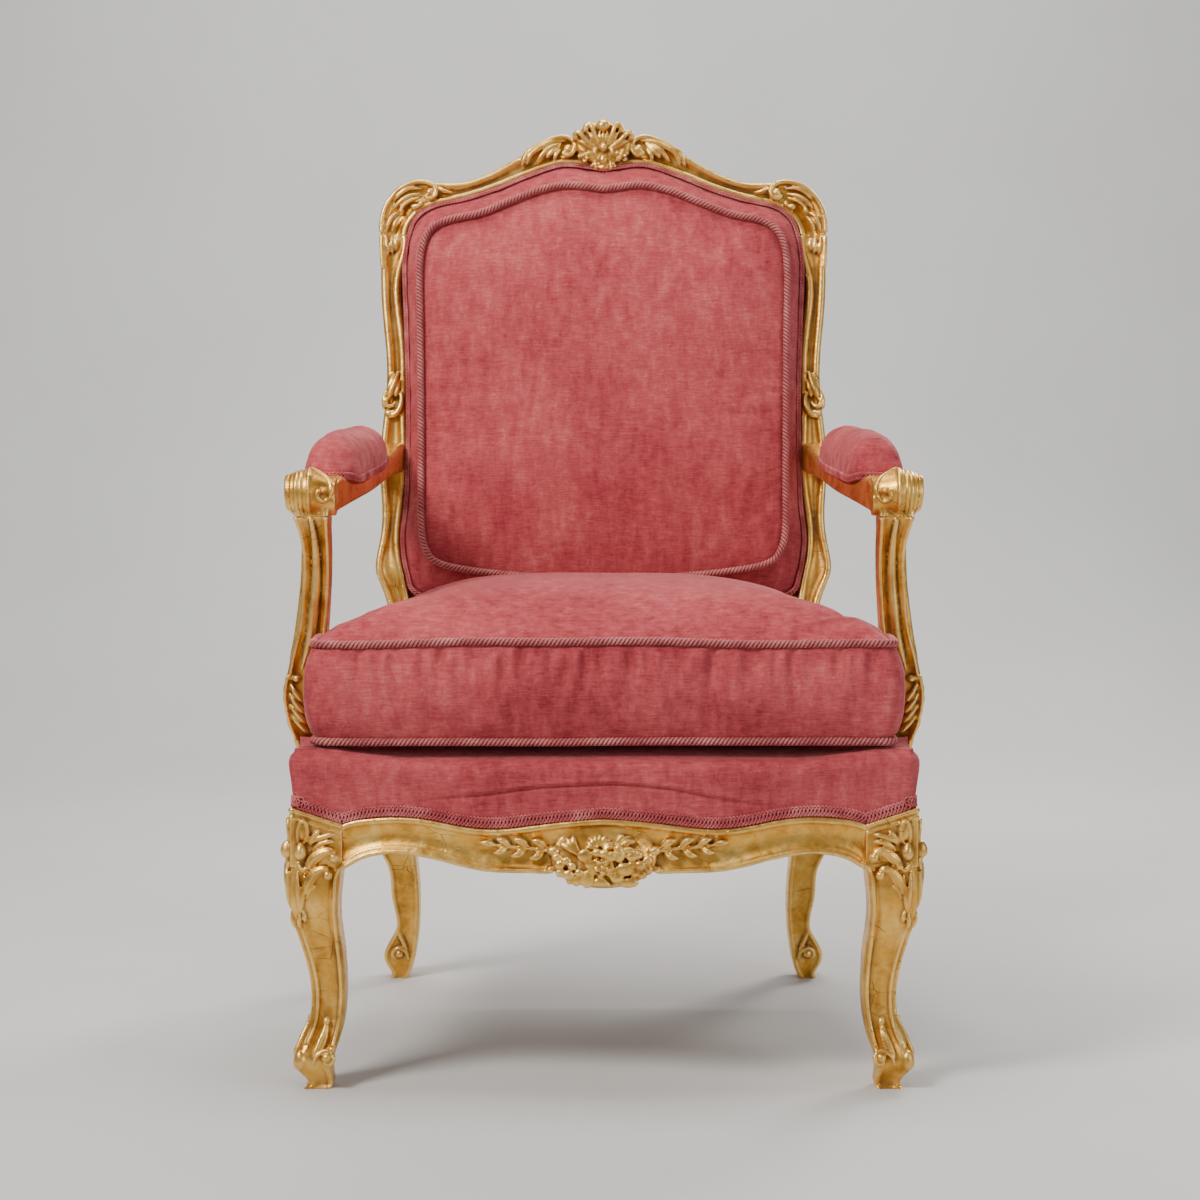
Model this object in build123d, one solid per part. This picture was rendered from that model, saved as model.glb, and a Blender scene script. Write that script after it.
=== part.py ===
from build123d import *
import os
from math import atan2, cos, hypot, radians, sin, tan

# Giltwood armchair: raked cartouche back, padded arms, stuffed seat and a loose T-shaped seat cushion.
# X is positive on the viewer's right, Y runs to the back and Z up, in millimetres. While the chair is built
# Y is 0 between the front feet; every piece is centred front to back when it is written.

# Seat frame
LEG_X = 286.0            # middle of a front leg's top block, from the centre line
LEG_Y = 2.0              # the same, behind the front datum
LEG_BLOCK = 52.0         # side of that square block
LEG_BLOCK_BOTTOM = 226.0
RAIL_Z = 250.0           # datum that the rails' curved edges are measured from
TACK_TOP = 296.0         # top of every seat rail, where the webbing is tacked
REBATE = 6.0             # step in the rails' show faces that takes the upholstery's edge
RAIL_THICKNESS = 34.0
RAIL_BEAD = 4.0          # radius of the beads along the show edges
RAIL_HOLLOW = 5.0        # depth of the hollow between the beads
SIDE_SETBACK = 1.0       # side rails lie this far inside the face of the leg blocks
TACK_INSET = 3.0         # tacking strip is thinner than its rail at the inside
FRONT_BOW = 10.0         # how far the front rail bows forward
SIDE_BOW = 20.0          # how far the side rails bow outward
CORE_CUT = 13.0          # corner taken off the leg block behind the upholstery
BLOCK_RISE = 17.0        # climb of the show edge over a leg block, from the rail to the outer corner
REAR_RAIL_BOTTOM = 228.0
REAR_RAIL_FRONT = 470.0
REAR_RAIL_THICKNESS = 30.0
BOSS_WIDTH = 104.0       # carved flower boss under the front rail
BOSS_HEIGHT = 62.0
BOSS_DEPTH = 10.0        # how far the boss stands in front of the rail
BOSS_Z = 238.0
CORNER_BLOCK_REACH = 58.0
CORNER_BLOCK_BOTTOM = 244.0
CORNER_BLOCK_GAP = 0.3

# Joints of the frame
TENON = 11.0             # thickness of every tenon
TENON_LENGTH = 22.0
TENON_HEIGHT = 34.0
FIT_GAP = 0.15           # glue gap round a tenon
PEG_RADIUS = 3.5
PEG_LENGTH = 30.0

# Front leg, from the sole up: height, middle along the outward diagonal, side of the section
LEG_STATIONS = [
    (0.0, 2.0, 28.0), (20.0, 4.0, 34.0), (31.0, 4.5, 37.5), (48.0, -2.5, 35.0), (67.0, -8.3, 32.0),
    (91.0, -10.4, 32.2), (114.0, -9.2, 34.0), (140.0, -5.6, 38.2), (166.0, 0.0, 43.2), (191.0, 2.6, 48.0),
    (212.0, 1.6, 50.4), (232.0, 0.0, 51.6),
]
LEG_BEAD = 0.11          # bead, hollow and rounded outer corner as shares of the section's side
LEG_HOLLOW = 0.07
LEG_ARRIS = 0.2

# Rear post below the back: height, inner and outer edge from the centre line, front face, depth
POST_LOWER = [
    (0.0, 238.0, 258.0, 546.0, 27.0), (16.0, 230.0, 261.0, 543.0, 36.0), (30.0, 227.0, 264.5, 542.0, 41.0),
    (55.0, 223.0, 252.0, 537.0, 35.0), (86.0, 220.5, 250.5, 527.0, 33.0), (116.0, 220.5, 254.0, 517.0, 35.0),
    (152.0, 223.0, 261.0, 503.0, 39.0), (200.0, 226.0, 265.0, 481.0, 44.0), (245.0, 227.0, 266.0, 465.0, 46.0),
    (300.0, 227.0, 265.0, 459.0, 46.0), (350.0, 226.5, 259.0, 460.0, 43.0), (400.0, 226.0, 253.0, 466.0, 39.0),
]
POST_BEAD = 3.0
POST_HOLLOW = 2.0
POST_AT_SEAT = 8         # the station of the list above at the seat rails

# Back, in its own raked plane: X from the centre line, T up the slope, N behind the wood's front face
RAKE = 9.12              # degrees
BACK_Y = 480.0           # where T and N are 0
BACK_Z = 462.0
BACK_DEPTH = 34.0        # thickness of the back's wood
POST_FLAT = -50.0        # T from which the posts are flat behind
BACK_BEAD = 4.5
BACK_HOLLOW = 5.5
# post: T, inner edge, outer edge
POST_UPPER = [
    (-8.0, 227.0, 253.5), (20.0, 231.0, 263.0), (67.0, 239.0, 264.2), (125.0, 234.0, 262.0), (200.0, 232.5, 262.0),
    (267.0, 233.0, 256.5), (304.0, 234.5, 258.4), (393.0, 239.0, 264.6),
]
CREST_JOINT = 436.5      # T of the joint between post and crest
CREST_END = (233.0, 265.4)   # edges of post and crest there
# crest, from the joint to the middle: X and T of the inner edge, X and T of the outer edge
CREST_STATIONS = [
    (231.0, 445.5, 263.5, 456.0), (225.0, 456.0, 254.5, 480.5), (214.5, 465.5, 237.5, 497.0),
    (200.0, 472.5, 213.0, 501.5), (165.0, 480.5, 171.0, 501.5), (127.0, 493.0, 135.0, 513.5),
    (89.0, 509.0, 95.0, 536.0), (50.0, 521.5, 50.0, 557.0), (16.0, 519.0, 16.0, 553.0),
]
CREST_MIDDLE = (516.5, 551.0)    # T of inner and outer edge in the middle of the crest
SHELL_WIDTH = 68.0       # carved shell in the middle of the crest
SHELL_HEIGHT = 53.0
SHELL_T = 547.5
SHELL_DEPTH = 9.0        # how far the shell stands in front of the crest
SHELL_THICKNESS = 30.0
# lower rail of the back: share of the half length, T of top and bottom edge
BACK_RAIL = [(0.0, -15.0, -48.0), (0.35, -14.0, -46.0), (0.7, -9.0, -43.0), (1.0, 3.0, -36.0)]
BACK_RAIL_END = 236.0

# Arm: distance behind the datum, inner edge, width, underside, height
ARM_STATIONS = [
    (84.0, 273.0, 46.0, 575.0, 40.0), (110.0, 267.5, 46.0, 579.0, 33.0), (150.0, 261.0, 46.0, 584.0, 23.0),
    (280.0, 249.0, 46.0, 595.0, 22.0), (400.0, 242.0, 42.0, 606.0, 24.0), (450.0, 238.5, 36.0, 609.0, 29.0),
    (522.0, 234.0, 27.0, 612.0, 33.0),
]
ARM_EDGE = 6.0           # rounding of the arm's edges
SCROLL_Y = 78.0          # axis of the hand scroll
SCROLL_Z = 596.0
SCROLL_RADIUS = 24.0
SCROLL_INNER = 274.0
SCROLL_WIDTH = 47.0
# arm support: height, inner edge, outer edge, front face, depth
SUPPORT_STATIONS = [
    (320.0, 287.0, 316.5, 96.5, 37.0), (350.0, 290.0, 323.5, 92.0, 37.0), (383.0, 291.0, 328.0, 86.0, 37.0),
    (412.0, 289.0, 325.5, 82.0, 35.0), (436.0, 286.5, 318.7, 80.0, 33.0), (462.0, 284.0, 312.0, 79.5, 31.0),
    (500.0, 281.5, 309.2, 78.0, 30.0), (528.0, 280.5, 308.2, 75.0, 30.5), (550.0, 280.5, 310.5, 69.0, 33.0),
]
SUPPORT_FOOT = (285.0, 313.5, 98.0, 36.0)    # inner edge, outer edge, front face, depth on the rail
SUPPORT_HEAD = (280.0, 317.0, 61.0, 38.0)    # the same under the arm
SUPPORT_TOP = 571.0      # joint between support and arm
SUPPORT_NECK = 17.0      # the arm's neck above that joint
SUPPORT_BEAD = 4.0
SUPPORT_HOLLOW = 4.0

# Upholstery
COVER = 2.5              # thickness of velvet with its lining
SOFT_GAP = 0.5           # room between a cover and its filling
GIMP_WIDTH = 10.0        # braid round the seat
GIMP_THICKNESS = 1.8
BACK_GIMP_WIDTH = 7.0    # braid round the back and the arm pads
CORD_RADIUS = 4.2        # rope piping
CORD_GAP = 0.25          # room between the piping and the seam it covers
BACK_CORD_GAP = 1.2      # the same on the back, where the path is made of arcs
WEB_WIDTH = 50.0
WEB_THICKNESS = 2.0
HESSIAN = 1.5

# Stuffed seat platform under the cushion
SEAT_TOP = 344.0
PLATFORM_REAR = 487.0
PLATFORM_CORNER = 16.0
EDGE_GAP = 0.6           # between a show edge and the upholstery above it
FOOT_NOTCH = 1.5         # room left round the arm supports
# depth below the top, outward offset
PLATFORM_LEVELS = [(88.0, -3.2), (46.0, -3.2), (25.0, 2.0), (12.0, -1.5), (5.0, -9.0), (0.0, -28.0)]
POST_NOTCH = 3.0         # room left round the rear posts
SEAT_WEBS = (-184.0, -92.0, 0.0, 92.0, 184.0)    # middles of the front-to-back webs
CROSS_WEBS = (58.0, 190.0, 285.0, 380.0)         # middles of the crosswise webs

# Loose cushion
CUSHION_FRONT = -18.0
CUSHION_EAR = 64.0       # rear edge of the ears, in front of the arm supports
CUSHION_REAR = 432.0
CUSHION_HALF_FRONT = 294.0
CUSHION_HALF_NECK = 273.0
CUSHION_HALF_REAR = 240.0
CUSHION_CORNER = 18.0
CUSHION_SEAM_LOW = 8.0   # lower seam above the cushion's underside
CUSHION_BOXING = 94.0    # height of the boxing between the seams
CUSHION_BULGE = 6.5      # how far the boxing swells
CUSHION_CROWN = 54.0     # crown above the upper seam
# share of crown, scale of outline
CROWN_STEPS = [(0.2, 0.975), (0.42, 0.93), (0.64, 0.85), (0.82, 0.735), (0.94, 0.58), (1.0, 0.38)]
EAR_FADE = 3.6           # how fast the ears draw in under the crown, and their least depth
EAR_LEAST = 36.0
CUSHION_LIFT = 0.4       # room between cushion and platform

# Stuffed back; right half of the opening from the top middle to the bottom middle: X, T
OPENING = [
    (0.0, 516.5), (16.0, 519.0), (50.0, 521.5), (89.0, 509.0), (127.0, 493.0), (165.0, 480.5), (200.0, 472.5),
    (220.5, 460.5), (231.5, 440.0), (237.5, 400.0), (235.0, 330.0), (232.0, 231.0), (233.0, 125.0),
    (237.5, 72.0), (231.5, 30.0), (219.0, 6.0), (165.0, -8.0), (80.0, -13.5), (0.0, -15.0),
]
# the rope piping of the front panel, point for point: X, T
PIPING = [
    (0.0, 481.0), (16.0, 483.0), (44.0, 485.5), (76.0, 479.0), (109.0, 466.0), (146.0, 451.5), (181.0, 444.0),
    (200.0, 434.0), (210.0, 414.5), (213.0, 380.0), (212.0, 325.0), (210.5, 231.0), (209.5, 128.0),
    (209.0, 84.0), (204.0, 57.0), (189.0, 42.0), (146.0, 33.0), (72.0, 26.0), (0.0, 23.0),
]
OPENING_GAP = 1.6        # between the frame and the upholstery
WOOD_GAP = 0.4           # the least of it, where the frame's moulding comes closest
PAD_BACK = 19.7          # N of the pad's rear
PAD_FRONT = -32.0        # N of the front panel's edge
PAD_CROWN = 17.0         # crown of the front panel
PAD_STEPS = [(0.3, 0.96), (0.58, 0.88), (0.82, 0.74), (1.0, 0.45)]     # share of crown, scale of outline
PAD_MIDDLE = 252.0       # T that the crown is centred on
BACK_LEDGE = 20.0        # N of the ledge for hessian and webbing
BACK_LEDGE_WIDTH = 11.0
BACK_LEDGE_ROOM = 1.0    # between that ledge's wall and the hessian
BACK_UPRIGHT_WEBS = (-140.0, -47.0, 47.0, 140.0)
BACK_CROSS_WEBS = (90.0, 200.0, 310.0, 420.0)
OUTSIDE_LAP = 16.0       # how far the outside back laps onto the frame

# Arm pad: distance behind the datum, overhang beyond the arm's sides, height above the arm's flat
ARM_PAD = [
    (114.0, -4.0, 30.0), (130.0, 2.5, 44.0), (165.0, 5.0, 51.0), (240.0, 5.0, 50.0), (320.0, 4.5, 45.0),
    (362.0, 1.0, 34.0), (376.0, -6.0, 20.0),
]
PAD_SEAT = 2.0           # depth of the flat cut in the arm's top that the pad sits on

# Shares of a serpentine rail and the heights of its edges above the datum
FRONT_CURVE = [   # share of the half length from the middle, top edge, bottom edge
    (0.0, 26.0, -30.0), (0.25, 20.0, -28.5), (0.41, 15.5, -28.0), (0.54, 18.0, -21.0), (0.66, 24.0, -13.0),
    (0.79, 27.0, -9.0), (0.91, 25.0, -12.5), (1.0, 19.0, -27.0),
]
SIDE_CURVE = [    # share of the length from front to rear, top edge, bottom edge
    (0.0, 19.0, -27.0), (0.1, 25.0, -13.0), (0.28, 25.0, -10.0), (0.5, 16.0, -24.0), (0.68, 17.0, -25.0),
    (0.86, 23.0, -13.0), (1.0, 21.0, -20.0), (1.06, 20.0, -22.0),
]

# Places that several pieces share
LEG_INNER = LEG_X - LEG_BLOCK / 2
LEG_OUTER = LEG_X + LEG_BLOCK / 2
LEG_FRONT = LEG_Y - LEG_BLOCK / 2
LEG_BACK = LEG_Y + LEG_BLOCK / 2
POST_INNER, POST_OUTER, POST_FACE, POST_DEPTH = POST_LOWER[POST_AT_SEAT][1:]
TENON_Z = RAIL_Z + 6
WEB_Z = TACK_TOP + 2 * WEB_THICKNESS
STUFFING_Z = WEB_Z + HESSIAN
FAR = 2000.0


def block(x0, x1, y0, y1, z0, z1):
    """Box between two corners."""
    return Pos((x0 + x1) / 2, (y0 + y1) / 2, (z0 + z1) / 2) * Box(abs(x1 - x0), abs(y1 - y0), abs(z1 - z0))


def largest(shape):
    """The biggest solid of a shape, without the offcuts."""
    return Part([max(shape.solids(), key=lambda solid: solid.volume)])


def left_of(shape):
    """The same piece on the other side of the chair."""
    return mirror(shape, about=Plane.YZ)


def pair(shape):
    """A piece and its mirror image, as one group."""
    return Part([*shape.solids(), *left_of(shape).solids()])


def halved(rows):
    """Rows of a table with one more between each two, on a smooth curve through them."""
    ends = [rows[0]] + rows + [rows[-1]]
    finer = []
    for a, b, c, d in zip(ends, ends[1:], ends[2:], ends[3:]):
        finer += [b, tuple((9 * (q + r) - p - s) / 16 for p, q, r, s in zip(a, b, c, d))]
    return finer + [rows[-1]]


def back_point(x, t, n):
    """A point of the raked back in the chair's own axes."""
    rake = radians(RAKE)
    return Vector(x, BACK_Y + n * cos(rake) + t * sin(rake), BACK_Z - n * sin(rake) + t * cos(rake))


BACK = Pos(0, BACK_Y, BACK_Z) * Rot(-RAKE, 0, 0)     # takes X, N, T into the chair's axes
BACK_FACING = back_point(0, 0, -1) - back_point(0, 0, 0)


def between(stations, place):
    """Values of a table at a place, along straight lines between its rows."""
    for (p0, *a), (p1, *b) in zip(stations, stations[1:]):
        if p0 <= place <= p1:
            share = (place - p0) / (p1 - p0)
            return [v + (w - v) * share for v, w in zip(a, b)]
    raise ValueError(place)


def moulding(corner, across, facing, depth, bead, hollow):
    """Section of a moulded bar: a bead on both front edges and a hollow between them."""
    w, d, b = across.length, depth, bead
    plane = Plane(origin=corner, x_dir=across, z_dir=across.cross(facing))
    edges = [
        Line((0, 0), (w, 0)),
        Line((w, 0), (w, d - b)),
        ThreePointArc((w, d - b), (w - b, d), (w - 1.866 * b, d - b / 2)),
        ThreePointArc((w - 1.866 * b, d - b / 2), (w / 2, d - hollow), (1.866 * b, d - b / 2)),
        ThreePointArc((1.866 * b, d - b / 2), (b, d), (0, d - b)),
        Line((0, d - b), (0, 0)),
    ]
    return plane * make_face(edges)


def leg_section(height, out, side):
    """Section of the right front leg: rounded outer corner, hollow show faces, beads at their far edges."""
    h, b, r, hollow = side / 2, LEG_BEAD * side, LEG_ARRIS * side, LEG_HOLLOW * side
    edges = [
        Line((-h, h), (h - b, h)),
        ThreePointArc((h - b, h), (h, h - b), (h - b / 2, h - 1.866 * b)),
        ThreePointArc((h - b / 2, h - 1.866 * b), (h - hollow, 0), (h, r - h)),
        ThreePointArc((h, r - h), (h - 0.293 * r, 0.293 * r - h), (h - r, -h)),
        ThreePointArc((h - r, -h), (0, hollow - h), (1.866 * b - h, b / 2 - h)),
        ThreePointArc((1.866 * b - h, b / 2 - h), (0.293 * b - h, 0.293 * b - h), (-h, b - h)),
        Line((-h, b - h), (-h, h)),
    ]
    return Pos(LEG_X + out, LEG_Y - out, height) * make_face(edges)


def prism(points, plane, amount):
    """Straight prism on a polygon."""
    return extrude(plane * make_face(Polyline(*points, close=True)), amount=amount)


def front_face(x):
    """Front of the front rail at a distance from the centre line."""
    return LEG_FRONT - FRONT_BOW * (1 - (x / LEG_INNER) ** 2)


def side_face(share):
    """Outer face of the right side rail at a share of its length: X, Y."""
    y = LEG_BACK + (POST_FACE - LEG_BACK) * share
    x = LEG_OUTER + (POST_OUTER - LEG_OUTER) * share + SIDE_BOW * 4 * share * (1 - share)
    return x - SIDE_SETBACK, y


def side_at(y):
    """Outer face of the right side rail at a distance behind the datum."""
    return side_face((y - LEG_BACK) / (POST_FACE - LEG_BACK))[0]


def rail(stations, place, facing):
    """A seat rail: moulded show part and, behind the rebate, the strip that the webbing is tacked to."""
    show = []
    strip = []
    for share, top, bottom in stations:
        face = Vector(*place(share), RAIL_Z + bottom)
        inside = face - facing * RAIL_THICKNESS
        show.append(moulding(inside, Vector(0, 0, top - bottom), facing, RAIL_THICKNESS, RAIL_BEAD, RAIL_HOLLOW))
        width = RAIL_THICKNESS - REBATE - TACK_INSET
        middle = Vector(face.X, face.Y, (RAIL_Z + TACK_TOP) / 2) - facing * (REBATE + width / 2)
        plane = Plane(origin=middle, x_dir=(0, 0, 1), z_dir=Vector(0, 0, 1).cross(facing))
        strip.append(plane * Rectangle(TACK_TOP - RAIL_Z, width))
    return loft(show) + loft(strip)


def grown(x0, x1, y0, y1, z0, z1):
    """Mortise for a tenon between two corners."""
    g = FIT_GAP
    return block(x0 - g, x1 + g, y0 - g, y1 + g, z0 - g, z1 + g)


nodes = {}

# Rear posts: rear leg and back stile in one
sections = []
for z, inner, outer, face, depth in POST_LOWER:
    corner = Vector(inner, face + depth, z)
    sections.append(moulding(corner, Vector(outer - inner, 0, 0), Vector(0, -1, 0), depth, POST_BEAD, POST_HOLLOW))
for t, inner, outer in POST_UPPER + [(CREST_JOINT, *CREST_END)]:
    corner = back_point(inner, t, BACK_DEPTH)
    sections.append(moulding(corner, Vector(outer - inner, 0, 0), BACK_FACING, BACK_DEPTH, BACK_BEAD, BACK_HOLLOW))
post = loft(sections)

# Front legs: curved leg and square block, stepped back for the upholstery above the show edge
leg = loft([leg_section(*station) for station in LEG_STATIONS])
leg += block(LEG_INNER, LEG_OUTER, LEG_FRONT, LEG_BACK, LEG_BLOCK_BOTTOM, TACK_TOP)
low = RAIL_Z + FRONT_CURVE[-1][1]
high = low + BLOCK_RISE
cap = TACK_TOP + 1
climb = BLOCK_RISE / LEG_BLOCK
edge = [(LEG_INNER - 10, low - 10 * climb), (LEG_OUTER + 20, high + 20 * climb)]
leg -= prism(edge + [(LEG_OUTER + 20, cap + 30), (LEG_INNER - 10, cap + 30)],
             Plane(origin=(0, LEG_FRONT - 1, 0), x_dir=(1, 0, 0), z_dir=(0, -1, 0)), -(REBATE + 1))
side_edge_line = [(LEG_FRONT - 20, high + 20 * climb), (LEG_BACK + 10, low - 10 * climb)]
leg -= prism(side_edge_line + [(LEG_BACK + 10, cap + 30), (LEG_FRONT - 20, cap + 30)],
             Plane(origin=(LEG_OUTER + 1, 0, 0), x_dir=(0, 1, 0), z_dir=(1, 0, 0)), -(REBATE + SIDE_SETBACK + 2))
core_x, core_y = LEG_OUTER - REBATE, LEG_FRONT + REBATE
leg -= prism([(core_x + 1, core_y - 1), (core_x + 1, core_y + CORE_CUT), (core_x - CORE_CUT, core_y - 1)],
             Plane(origin=(0, 0, high - 9)), cap)

# Seat rails
whole_front = [(-s, t, b) for s, t, b in reversed(FRONT_CURVE[1:])] + FRONT_CURVE
front_rail = rail(whole_front, lambda s: (s * LEG_INNER, front_face(s * LEG_INNER)), Vector(0, -1, 0))
boss_front = front_face(0) - BOSS_DEPTH
boss = extrude(Plane(origin=(0, boss_front, BOSS_Z), x_dir=(1, 0, 0), z_dir=(0, -1, 0))
               * Ellipse(BOSS_WIDTH / 2, BOSS_HEIGHT / 2), amount=-(BOSS_DEPTH + RAIL_THICKNESS / 2))
boss = fillet(boss.edges().group_by(Axis.Y)[0], BOSS_DEPTH * 0.7)
front_rail += boss
side_rail = largest(rail(SIDE_CURVE, side_face, Vector(1, 0, 0)) - post)
foot_inner, foot_outer, foot_front, foot_depth = SUPPORT_FOOT
foot_back = foot_front + foot_depth
foot_x = side_at((foot_front + foot_back) / 2)
side_rail += block(foot_x - REBATE - 2, min(side_at(foot_front), side_at(foot_back)) - 0.5, foot_front, foot_back,
                   RAIL_Z + 8, TACK_TOP)
rear_rail = largest(block(-POST_OUTER + 25, POST_OUTER - 25, REAR_RAIL_FRONT, REAR_RAIL_FRONT + REAR_RAIL_THICKNESS,
                          REAR_RAIL_BOTTOM, TACK_TOP) - post - left_of(post))

# Crest with its shell, and the lower rail of the back
half = [(CREST_END[0], CREST_JOINT, CREST_END[1], CREST_JOINT)] + CREST_STATIONS
middle = [(0.0, CREST_MIDDLE[0], 0.0, CREST_MIDDLE[1])]
sections = []
for xi, ti, xo, to in halved(half + middle + [(-a, b, -c, d) for a, b, c, d in reversed(half)]):
    corner = back_point(xi, ti, BACK_DEPTH)
    across = back_point(xo, to, BACK_DEPTH) - corner
    sections.append(moulding(corner, across, BACK_FACING, BACK_DEPTH, BACK_BEAD, BACK_HOLLOW))
crest = loft(sections)
shell = extrude(Plane(origin=(0, -SHELL_DEPTH, SHELL_T), x_dir=(1, 0, 0), z_dir=(0, -1, 0))
                * Ellipse(SHELL_WIDTH / 2, SHELL_HEIGHT / 2), amount=-SHELL_THICKNESS)
shell = fillet(shell.edges().group_by(Axis.Y)[0], SHELL_DEPTH * 0.7)
crest += BACK * shell
sections = []
for share, top, bottom in [(-s, t, b) for s, t, b in reversed(BACK_RAIL[1:])] + BACK_RAIL:
    corner = back_point(share * BACK_RAIL_END, bottom, BACK_DEPTH)
    across = back_point(share * BACK_RAIL_END, top, BACK_DEPTH) - corner
    sections.append(moulding(corner, across, BACK_FACING, BACK_DEPTH, BACK_BEAD, BACK_HOLLOW))
back_rail = largest(loft(sections) - post - left_of(post))

# Arm supports and arms
sections = [moulding(Vector(foot_inner, foot_back, TACK_TOP), Vector(foot_outer - foot_inner, 0, 0), Vector(0, -1, 0),
                     foot_depth, SUPPORT_BEAD, SUPPORT_HOLLOW)]
for z, inner, outer, face, depth in SUPPORT_STATIONS:
    corner = Vector(inner, face + depth, z)
    sections.append(moulding(corner, Vector(outer - inner, 0, 0), Vector(0, -1, 0), depth, SUPPORT_BEAD, SUPPORT_HOLLOW))
inner, outer, face, depth = SUPPORT_HEAD
head = moulding(Vector(inner, face + depth, SUPPORT_TOP), Vector(outer - inner, 0, 0), Vector(0, -1, 0), depth,
                SUPPORT_BEAD, SUPPORT_HOLLOW)
support = loft(sections + [head])
arm_sections = []
for y, inner, width, under, height in ARM_STATIONS:
    plane = Plane(origin=(inner + width / 2, y, under + height / 2), x_dir=(1, 0, 0), z_dir=(0, -1, 0))
    arm_sections.append(plane * RectangleRounded(width, height, ARM_EDGE))
arm = loft(arm_sections)
arm += Pos(SCROLL_INNER + SCROLL_WIDTH / 2, SCROLL_Y, SCROLL_Z) * Rot(0, 90, 0) * Cylinder(SCROLL_RADIUS, SCROLL_WIDTH)
arm += extrude(head, amount=SUPPORT_NECK, dir=(0, 0, 1))
arm = largest(arm - post)

# Tenons and their mortises
z0, z1 = TENON_Z - TENON_HEIGHT / 2, TENON_Z + TENON_HEIGHT / 2
y0 = LEG_FRONT + (RAIL_THICKNESS - TENON) / 2
front_tenon = (LEG_INNER, LEG_INNER + TENON_LENGTH, y0, y0 + TENON, z0, z1)
x0 = LEG_INNER + TENON_LENGTH + 4
side_tenon = (x0, x0 + TENON, LEG_BACK - TENON_LENGTH, LEG_BACK, z0, z1)
x0 = POST_INNER + 12
side_rear_tenon = (x0, x0 + TENON, POST_FACE - 2, POST_FACE + TENON_LENGTH - 3, z0, z1)
y0 = POST_FACE + TENON_LENGTH
rear_tenon = (POST_INNER - 4, POST_INNER + TENON_LENGTH, y0, y0 + TENON, z0, z1)
support_x = (foot_inner + foot_outer - TENON) / 2
support_y = foot_front + (foot_depth - TENON_LENGTH) / 2
foot_tenon = (support_x, support_x + TENON, support_y, support_y + TENON_LENGTH, TACK_TOP - TENON_LENGTH, TACK_TOP)
head_x = (SUPPORT_HEAD[0] + SUPPORT_HEAD[1] - TENON) / 2
head_y = SUPPORT_HEAD[2] + (SUPPORT_HEAD[3] - TENON_LENGTH) / 2
head_tenon = (head_x, head_x + TENON, head_y, head_y + TENON_LENGTH, SUPPORT_TOP, SUPPORT_TOP + TENON_LENGTH)
arm_end = between(ARM_STATIONS, BACK_Y + 26)
arm_x = arm_end[0] + (arm_end[1] - TENON) / 2
arm_tenon = (arm_x, arm_x + TENON, BACK_Y + 12, BACK_Y + 24 + TENON_LENGTH, arm_end[2] + 8, arm_end[2] + arm_end[3] - 8)
crest_x = (CREST_END[0] + CREST_END[1] - TENON_HEIGHT / 2) / 2
crest_tenon = (crest_x, crest_x + TENON_HEIGHT / 2, 5, 5 + TENON, CREST_JOINT - TENON_LENGTH, CREST_JOINT)
back_tenon = (BACK_RAIL_END - 14, BACK_RAIL_END + 6, 9, 9 + TENON, -30, -12)
side_rear = block(*side_rear_tenon)
rear_end = block(*rear_tenon)
arm_rear = block(*arm_tenon)
crest_end = BACK * block(*crest_tenon)
back_end = BACK * block(*back_tenon)

# Pegs across the tenons, driven from the hidden side
pegs = [
    Pos(LEG_INNER + TENON_LENGTH / 2, front_tenon[2] - 4 + PEG_LENGTH / 2, TENON_Z) * Rot(90, 0, 0)
    * Cylinder(PEG_RADIUS, PEG_LENGTH),
    Pos(side_tenon[0] - 1, LEG_BACK - TENON_LENGTH / 2, TENON_Z + 9) * Rot(0, 90, 0) * Cylinder(PEG_RADIUS, PEG_LENGTH),
    BACK * Pos(crest_x + TENON_HEIGHT / 4, 5 + TENON / 2, CREST_JOINT - TENON_LENGTH / 2) * Rot(90, 0, 0)
    * Cylinder(PEG_RADIUS, TENON + 4),
]
front_end = block(*front_tenon) - pegs[0]
side_end = block(*side_tenon) - pegs[1]
crest_end = crest_end - pegs[2]
front_rail += front_end
front_rail += left_of(front_end)
leg = leg - grown(*front_tenon) - grown(*side_tenon) - pegs[0] - pegs[1]
side_rail = largest(side_rail + side_end + side_rear - grown(*foot_tenon))
rear_rail += rear_end
rear_rail += left_of(rear_end)
support += block(*foot_tenon)
support += block(*head_tenon)
arm = largest(arm - grown(*head_tenon) + arm_rear)
crest += crest_end
crest += left_of(crest_end)
back_rail += back_end
back_rail += left_of(back_end)
post = post - grown(*side_rear_tenon) - grown(*rear_tenon) - grown(*arm_tenon)
post = post - BACK * grown(*crest_tenon) - BACK * grown(*back_tenon) - pegs[2]
post -= BACK * block(0, FAR, BACK_DEPTH, BACK_DEPTH + 40, POST_FLAT, CREST_JOINT)

# Corner blocks glued into the seat frame
reach, room = CORNER_BLOCK_REACH, CORNER_BLOCK_GAP
y0 = front_face(LEG_INNER) + RAIL_THICKNESS + room
x0 = LEG_INNER - room
x1 = side_at(LEG_BACK) - RAIL_THICKNESS - room
y1 = LEG_BACK + room
outline = [(LEG_INNER - reach, y0), (x0, y0), (x0, y1), (x1, y1), (x1, LEG_BACK + reach)]
height = TACK_TOP - CORNER_BLOCK_BOTTOM - 2
front_block = prism(outline, Plane(origin=(0, 0, CORNER_BLOCK_BOTTOM)), height)
y0 = REAR_RAIL_FRONT - room
x0 = POST_INNER - room - 0.5
y1 = min(station[3] for station in POST_LOWER) - room
x1 = side_at(y1) - RAIL_THICKNESS - room
outline = [(POST_INNER - reach, y0), (x0, y0), (x0, y1), (x1, y1),
           (side_at(POST_FACE - reach) - RAIL_THICKNESS - room, POST_FACE - reach)]
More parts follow.
